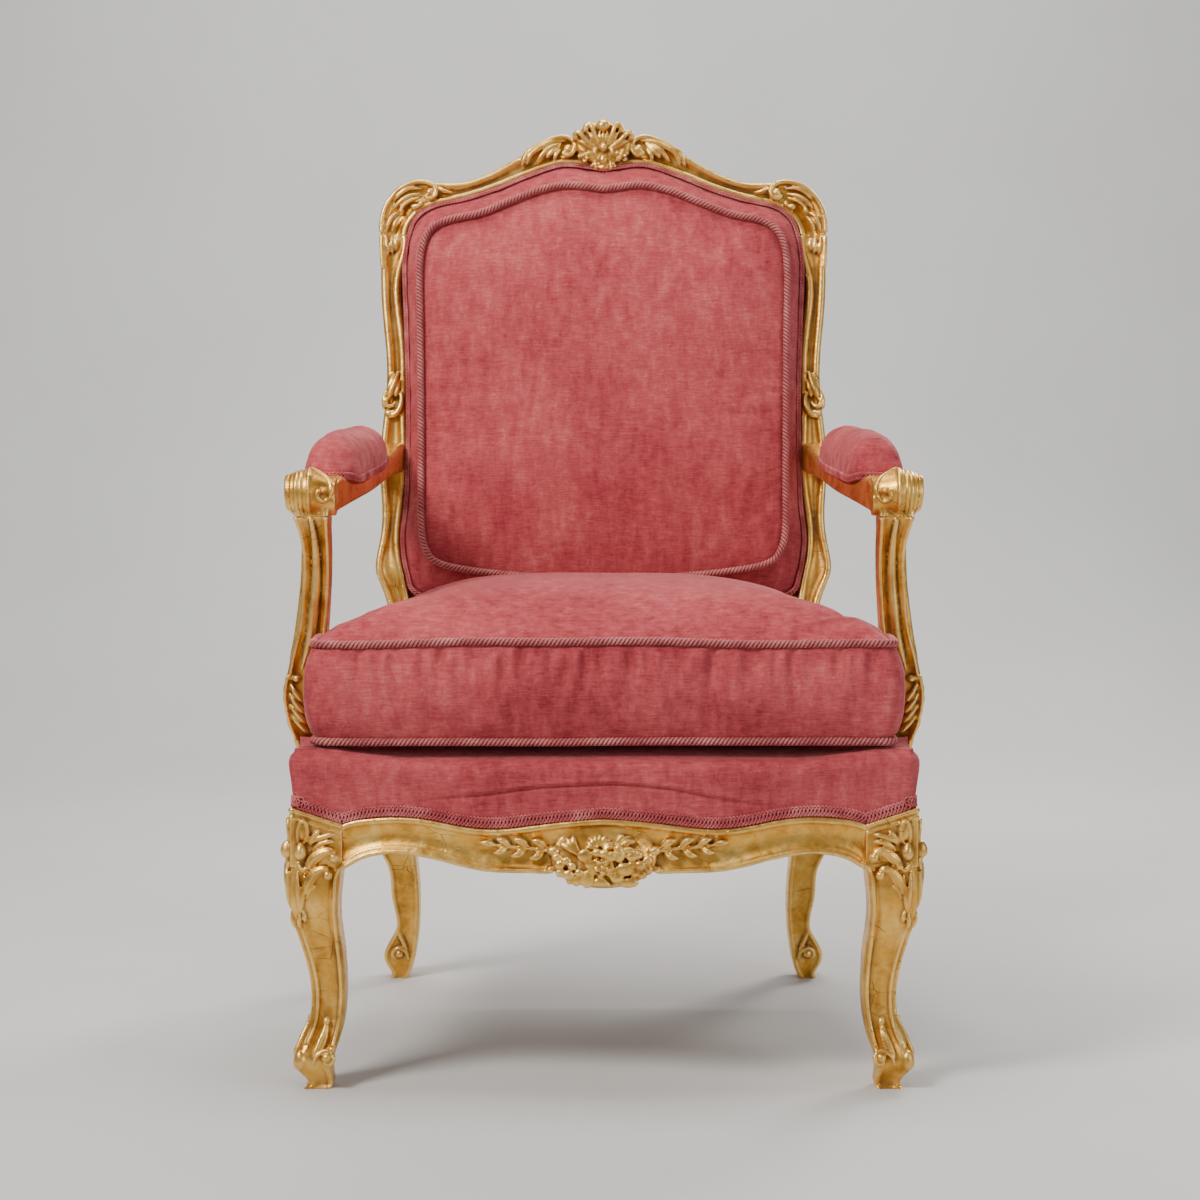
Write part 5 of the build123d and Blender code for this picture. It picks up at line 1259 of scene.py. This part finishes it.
def crest_carving():
    pieces = laid(
        on_wood, BACK_OUT,
        (bud, (BACK_UP * 7.6, 8.2, 6.5), (0, 566.8, 12)), (bud, (BACK_UP * 5.0, 5.0, 5.0), (0, 540, 12)),
        (bud, (BACK_UP * 7.5, 5.6, 5.0), (0, 526.5, 8)), (bud, (BACK_UP * 3.5, 6.5, 4.0), (0, 516.8, 6)),
        *[(finger, 1.9, (x * 0.7, 543, 9), (x, 552, 11.5), (x * 1.5, 560, 11.5)) for x in (-3.4, 0.0, 3.4)])
    for side in (1, -1):
        pieces += laid(lambda x, t, out: on_wood(side * x, t, out), BACK_OUT, *CREST)
        pieces += flower(on_wood(side * 21.5, 532.0, 5.5), BACK_UP, BACK_OUT, 9.5, 5, 0.4 * side)
        pieces += flower(on_wood(side * 9.0, 520.5, 5.0), BACK_UP, BACK_OUT, 7.0, 5, 0.9)
    return pieces


carved("crest_gilt", "crest_rail", crest_carving())


# Rear posts: leaves under the shoulders, an S-shaped leaf above the arms, turned-up feet
def on_foot(x, z, out):
    return np.array([x, 541.0 - out, z])


def post_carving():
    upper = laid(
        on_wood, BACK_OUT,
        (strip, 2.7, (264.2, 436, -0.5), (263.6, 420, 0.2), (262.6, 398, -0.8)),
        (finger, 2.6, (258.6, 436, -0.5), (258, 426, 1.2), (255.6, 412, -0.5)),
        (finger, 2.4, (251.6, 436, -0.5), (252, 426, 1), (250.6, 414, -0.5)),
        (bud, (BACK_UP * 8.0, 4.2, 3.4), (246.6, 426, -1)),
        (finger, 4.0, (243, 272, -0.5), (246.4, 260, 1.6), (251, 248, 2.2), (254, 238, 1.5)),
        (finger, 2.8, (248.6, 271, -0.5), (251.6, 259, 1.4), (255.6, 247, 1)),
        (finger, 2.8, (241, 262, -0.5), (243.4, 251, 1.2), (246, 241, 1.2)),
        (finger, 3.8, (239.6, 247, -0.5), (239, 235, 1.4), (243.4, 223, 2.2), (254, 216.5, 1.5)),
        (finger, (3.0, 3.0), (245.6, 236, 0), (250.4, 230, 2.2), (255.6, 231.5, 2.2), (257, 237, 1.5)),
        (finger, 2.8, (246.6, 226, 0), (252.6, 222, 2), (258.6, 224, 1)),
        (finger, 2.6, (257.6, 250, 0), (259.6, 238, 1.4), (259.6, 226, 0.5)))
    return upper + laid(
        on_foot, FRONT,
        (finger, 2.4, (234.6, 24, 0), (237.6, 33, 1.8), (245.6, 38.4, 2.2), (252.6, 35, 2), (253.6, 28.6, 1.5),
         (249, 24.4, 1.2)),
        (bud, (RIGHT * 5.0, 5.0, 4.4), (246, 31, 0)),
        (finger, 2.8, (247, 66, 4), (245, 55, 2.5), (240.6, 44, 1.5), (236, 34, 1)))


both_sides("rear_post", post_carving())
both_sides("side_rail", [])
carved("back_lower_rail_gilt", "back_lower_rail", [])

# Arm supports: leaves winding up from the seat; Z, inner edge, outer edge, front
SUPPORT = np.array([
    (320.0, 287.0, 316.5, 96.5), (350.0, 290.0, 323.5, 92.0), (383.0, 291.0, 328.0, 86.0),
    (412.0, 289.0, 325.5, 82.0), (436.0, 286.5, 318.7, 80.0), (462.0, 284.0, 312.0, 79.5),
    (500.0, 281.5, 309.2, 78.0), (528.0, 280.5, 308.2, 75.0), (550.0, 280.5, 310.5, 69.0),
    (571.0, 280.0, 317.0, 61.0)])


def support_at(z):
    return (np.interp(z, SUPPORT[:, 0], column) for column in SUPPORT.T[1:])


def on_support(share, z, out):
    """A point before the right support's front face: share of its width from the inner edge."""
    inner, outer, front = support_at(z)
    return np.array([inner + share * (outer - inner), front - out, z])


def on_cheek(y, z, out):
    """A point off the right support's outer face, Y behind its front."""
    _, outer, front = support_at(z)
    return np.array([outer + out, front + y, z])


def slanted(at, out, thick, bow, rise, end, *rows):
    """A row of fingers that slant down from one place to another: upper and lower Z, first and last place."""
    return laid(at, out, *[
        (finger, thick, (a, high, 0), ((a + b) / 2 + bow, (high + low) / 2 + 2, rise), (b, low, end))
        for high, low, a, b in rows])


def support_carving():
    beads = [(strip, 2.2, *[(share, z, -0.2) for z in (570, 549, 528, 500, 460)],
              (0.5 + (share - 0.5) * 0.98, 424, -0.4), (share, 404, -0.6)) for share in (0.08, 0.92)]
    pieces = laid(
        on_support, FRONT,
        (finger, 5.0, (0.5, 569, -0.5), (0.5, 548, 0.8), (0.5, 526, 0.8), (0.5, 500, 0.6), (0.52, 450, 0.8),
         (0.6, 413, 0.2)),
        *beads, (bud, (RIGHT * 4.4, 3.8, 4.0), (0.72, 404.5, 0.5)),
        (strip, 2.4, (0.98, 408, -0.6), (1, 384, 0), (0.98, 358, -0.2), (0.9, 341, -0.6)))
    pieces += slanted(on_support, FRONT, 3.0, 0.06, 2.0, 0.6, (398, 380, 0.86, 0.52), (388, 368, 0.88, 0.5),
                      (377, 357, 0.9, 0.48), (366, 347, 0.9, 0.46))
    pieces += slanted(on_support, FRONT, 2.7, 0.0, 1.6, 0.2, (396, 382, 0.4, 0.16), (384, 368, 0.42, 0.14),
                      (371, 354, 0.42, 0.14))
    pieces += slanted(on_cheek, RIGHT, 3.0, 0.0, 1.6, 0.2, (402, 380, 6, 15), (392, 368, 6, 17),
                      (380, 356, 6, 18), (366, 346, 7, 18))
    pieces += slanted(on_cheek, RIGHT, 2.8, 0.0, 1.4, 0.2, (398, 380, 31, 23), (386, 366, 32, 23),
                      (372, 352, 32, 24))
    return pieces + laid(on_cheek, RIGHT,
                         (finger, 4.6, (18, 545, -1.5), (18, 500, 0.2), (19, 450, 0.6), (19, 412, 0)))


# Arms: reeded hand scrolls with a volute on each cheek
HAND_Y, HAND_Z, HAND_RADIUS = 78.0, 596.0, 24.0


def on_hand(x, angle, out):
    r, a = HAND_RADIUS + out, radians(angle)
    return np.array([x, HAND_Y - r * cos(a), HAND_Z + r * sin(a)])


def by_hand(out, y, z):
    return np.array([321.0 + out, y, z])


def arm_carving():
    pieces = laid(
        by_hand, RIGHT,
        (finger, (2.9, 0.0, 0.8), (-3, 104, 577), (-0.5, 91, 573.5), (0.8, 74, 573.5), (1.2, 59.5, 584),
         (1.6, 56.6, 600), (1.8, 66, 615.5), (1.6, 83, 617.5), (1.4, 95, 608), (1.2, 94.5, 594.5),
         (1, 84.5, 588.5), (1, 77, 592)),
        (bud, (UP * 5.2, 5.2, 5.0), (-0.5, 82, 600.5)))
    pieces += laid(
        on_hand, FRONT, (strip, 2.3, *[(300.5, a, -0.2) for a in (-108, -80, -40, 0, 40, 75, 104)]),
        (strip, 2.1, (299, 98, 0.6), (291, 86, 0.6), (281.5, 62, 0.6), (276.8, 28, 0.6), (278, -8, 0.6),
         (284, -26, 0.6), (290.5, -12, 0.6), (289, 8, 0.6)),
        (bud, (UP * 4.4, 4.4, 6.0), (284.5, 6, 0.5)))
    return pieces + laid(by_hand, UP,
                         (finger, 2.4, (-36, 107, 609), (-28, 104, 612.5), (-19, 104, 612.5), (-12, 107, 609)))


def knuckle(points):
    """The right hand: fluted over its outer part, sloping back to an inner volute, rounded at the cheek."""
    p = points.copy()
    across = (p[:, 0] - 297.5) / 23.5
    y, z = p[:, 1] - HAND_Y, p[:, 2] - HAND_Z
    r, angle = np.hypot(y, z), np.arctan2(z, -y)
    hand = np.clip((104 - p[:, 1]) / 22, 0, 1) * np.clip((32 - r) / 4, 0, 1)
    slope = 0.44 * np.clip((0.06 - across) / 1.06, 0, 1) * np.clip((angle + radians(70)) / radians(60), 0, 1)
    barrel = 0.22 * np.clip((across - 0.3) / 0.7, 0, 1.1) ** 2
    low = np.clip(-angle / radians(100), 0, 1)
    lane = np.clip((across * (1 + 0.2 * low) - 0.18) / 0.82, 0, 1) * 4
    groove = (1 - np.sin(pi * (lane % 1.0)) ** 0.5) * (lane > 0) * (lane < 4)
    reach = np.clip((angle + radians(125)) / radians(30), 0, 1)
    reach = reach * np.clip((radians(128) - angle) / radians(40), 0, 1)
    skin = np.clip((r - 17) / 4, 0, 1)
    factor = 1 - hand * (barrel + slope) - hand * 1.5 * groove * reach * skin / np.maximum(r, 1)
    p[:, 1], p[:, 2] = HAND_Y + y * factor, HAND_Z + z * factor
    return p


both_sides("arm_support", support_carving())
both_sides("arm", arm_carving(), voxel=1.0, after=knuckle)

# Plain pieces inside the seat and the hidden layers of the back
for material, *names in ((BEECH, "rear_rail", "front_corner_blocks", "rear_corner_blocks", "frame_pegs"),
                         (HESSIAN, "back_hessian"), (WEBBING, "back_webs_upright", "back_webs_crosswise")):
    for name in names:
        NODES[name].data.materials.clear()
        NODES[name].data.materials.append(material)

# Seat webbing, woven over and under, below the hessian
LENGTHWISE, CROSSWISE = (-184.0, -92.0, 0.0, 92.0, 184.0), (58.0, 190.0, 285.0, 380.0)
WEB_Z, WEB_WIDTH = 298.3, 50.0


def strap(start, end, crossings, first):
    """A strap that passes over and under others at the given places along it."""
    start, end = np.array([*start, WEB_Z]), np.array([*end, WEB_Z])
    length = np.linalg.norm(end - start)
    s = np.linspace(0, length, 120)
    bend = -3.5 * np.sin(pi * s / length)
    for k, crossing in enumerate(crossings):
        bend += (1 if (k + first) % 2 else -1) * 1.25 * np.exp(-((s - crossing) / 26.0) ** 4)
    way = (end - start) / length
    middle = start + s[:, None] * way + np.outer(bend, UP)
    u = np.array([-1, -0.5, 0, 0.5, 1, 1, 0.5, 0, -0.5, -1]) * WEB_WIDTH / 2
    v = np.array([0.8] * 5 + [-0.8] * 5)
    return capped(middle[:, None] + u[:, None] * np.cross(UP, way) + v[:, None] * UP)


straps = {"lengthwise": [], "crosswise": []}
for k, x in enumerate(LENGTHWISE):
    y0 = float(front_y(abs(x) + WEB_WIDTH / 2)) + 10
    straps["lengthwise"].append(strap((x, y0), (x, 496.0), [y - y0 for y in CROSSWISE], k))
for k, y in enumerate(CROSSWISE):
    reach = float(side_x(y + WEB_WIDTH / 2)) - 12
    straps["crosswise"].append(strap((-reach, y), (reach, y), [x + reach for x in LENGTHWISE], k + 1))
for way, pieces in straps.items():
    place(build(f"seat_webbing_{way}", pieces), WEBBING, "webbing", "frame", f"seat_webs_{way}")

# Seat hessian: one stretched sheet
low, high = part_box("seat_hessian")
line = np.concatenate([SEAT_LINE[:, :2], [(POST_X, SEAT_END), (POST_X - 2, 480.0), (0.0, 480.0)]])
ring = even(np.concatenate([line, line[-2:0:-1] * (-1, 1)]), 420)
front, rear = 1000 * low.y + SHIFT, 1000 * high.y + SHIFT
ring = np.stack([ring[:, 0] * 500 * (high.x - low.x) / abs(ring[:, 0]).max(),
                 front + (ring[:, 1] - ring[:, 1].min()) * (rear - front) / np.ptp(ring[:, 1])], 1)
middle = np.array([0.0, 225.0])
rings = []
for w in np.linspace(0, 0.985, 26):
    part = middle + (ring - middle) * (1 - w)
    sag = -2.6 * (1 - (1 - w) ** 2) + 0.25 * ripple(part[:, 0] / 29.0, part[:, 1] / 37.0)
    rings.append(np.concatenate([part, 1000 * high.z + sag[:, None]], 1))
sheet = build("seat_hessian_cloth", [filled(rings)])
place(sheet, HESSIAN, "hessian", "frame", "seat_hessian")

# Floor, light and camera
FLOOR_BEND, FLOOR_REAR, FLOOR_FAR = 1400.0, 2400.0, 6000.0
sweep = [(-FLOOR_FAR, 0.0)]
sweep += [(FLOOR_REAR + FLOOR_BEND * sin(a), FLOOR_BEND - FLOOR_BEND * cos(a))
          for a in np.linspace(0, pi / 2, 16)]
sweep += [(FLOOR_REAR + FLOOR_BEND, FLOOR_FAR)]
points = np.array([[(x, y, z) for x in (-7000.0, 7000.0)] for y, z in sweep])
floor = build("studio_floor", [grid(points, loop_columns=False)])
s = Shader("studio_grey")
s.set(Base_Color=s.ramp(s.noise(2.0, 3.0), (0.3, (0.60, 0.595, 0.585)), (0.7, (0.64, 0.635, 0.625))),
      Roughness=0.7)
floor.data.materials.append(s.material)

world = bpy.data.worlds.new("studio")
world.use_nodes = True
background = world.node_tree.nodes["Background"]
background.inputs[0].default_value = (0.93, 0.94, 1.0, 1)
background.inputs[1].default_value = 0.3
bpy.context.scene.world = world


def lamp(name, where, target, size, power, colour=(1, 1, 1)):
    data = bpy.data.lights.new(name, "AREA")
    data.shape, data.size, data.size_y = "RECTANGLE", size[0], size[1]
    data.energy, data.color = power, colour
    obj = linked(bpy.data.objects.new(name, data))
    obj.location = where
    obj.rotation_euler = (Vector(target) - Vector(where)).to_track_quat("-Z", "Y").to_euler()


lamp("key", (-1.5, -1.7, 2.3), (0, 0, 0.55), (0.8, 0.8), 78, (1.0, 0.96, 0.9))
lamp("fill", (2.4, -1.9, 1.2), (0, 0, 0.5), (1.2, 1.2), 20, (0.95, 0.97, 1.0))
lamp("top", (0.0, 0.1, 2.9), (0, 0, 0.4), (1.5, 1.1), 44, (1.0, 0.98, 0.95))
lamp("rim", (1.5, 1.9, 2.0), (0, 0, 0.7), (0.8, 1.2), 40, (1.0, 0.97, 0.92))
lamp("backdrop", (0.0, 1.6, 2.6), (0, 3.4, 0.6), (2.4, 0.6), 45)

camera = linked(bpy.data.objects.new("camera", bpy.data.cameras.new("camera")))
camera.data.lens, camera.data.sensor_width = 81.09, 36.0
camera.location = (-0.004, -2.688 - SHIFT * MM, 0.6495)
camera.rotation_euler = (radians(90 - 3.388), 0, 0)
bpy.context.scene.camera = camera
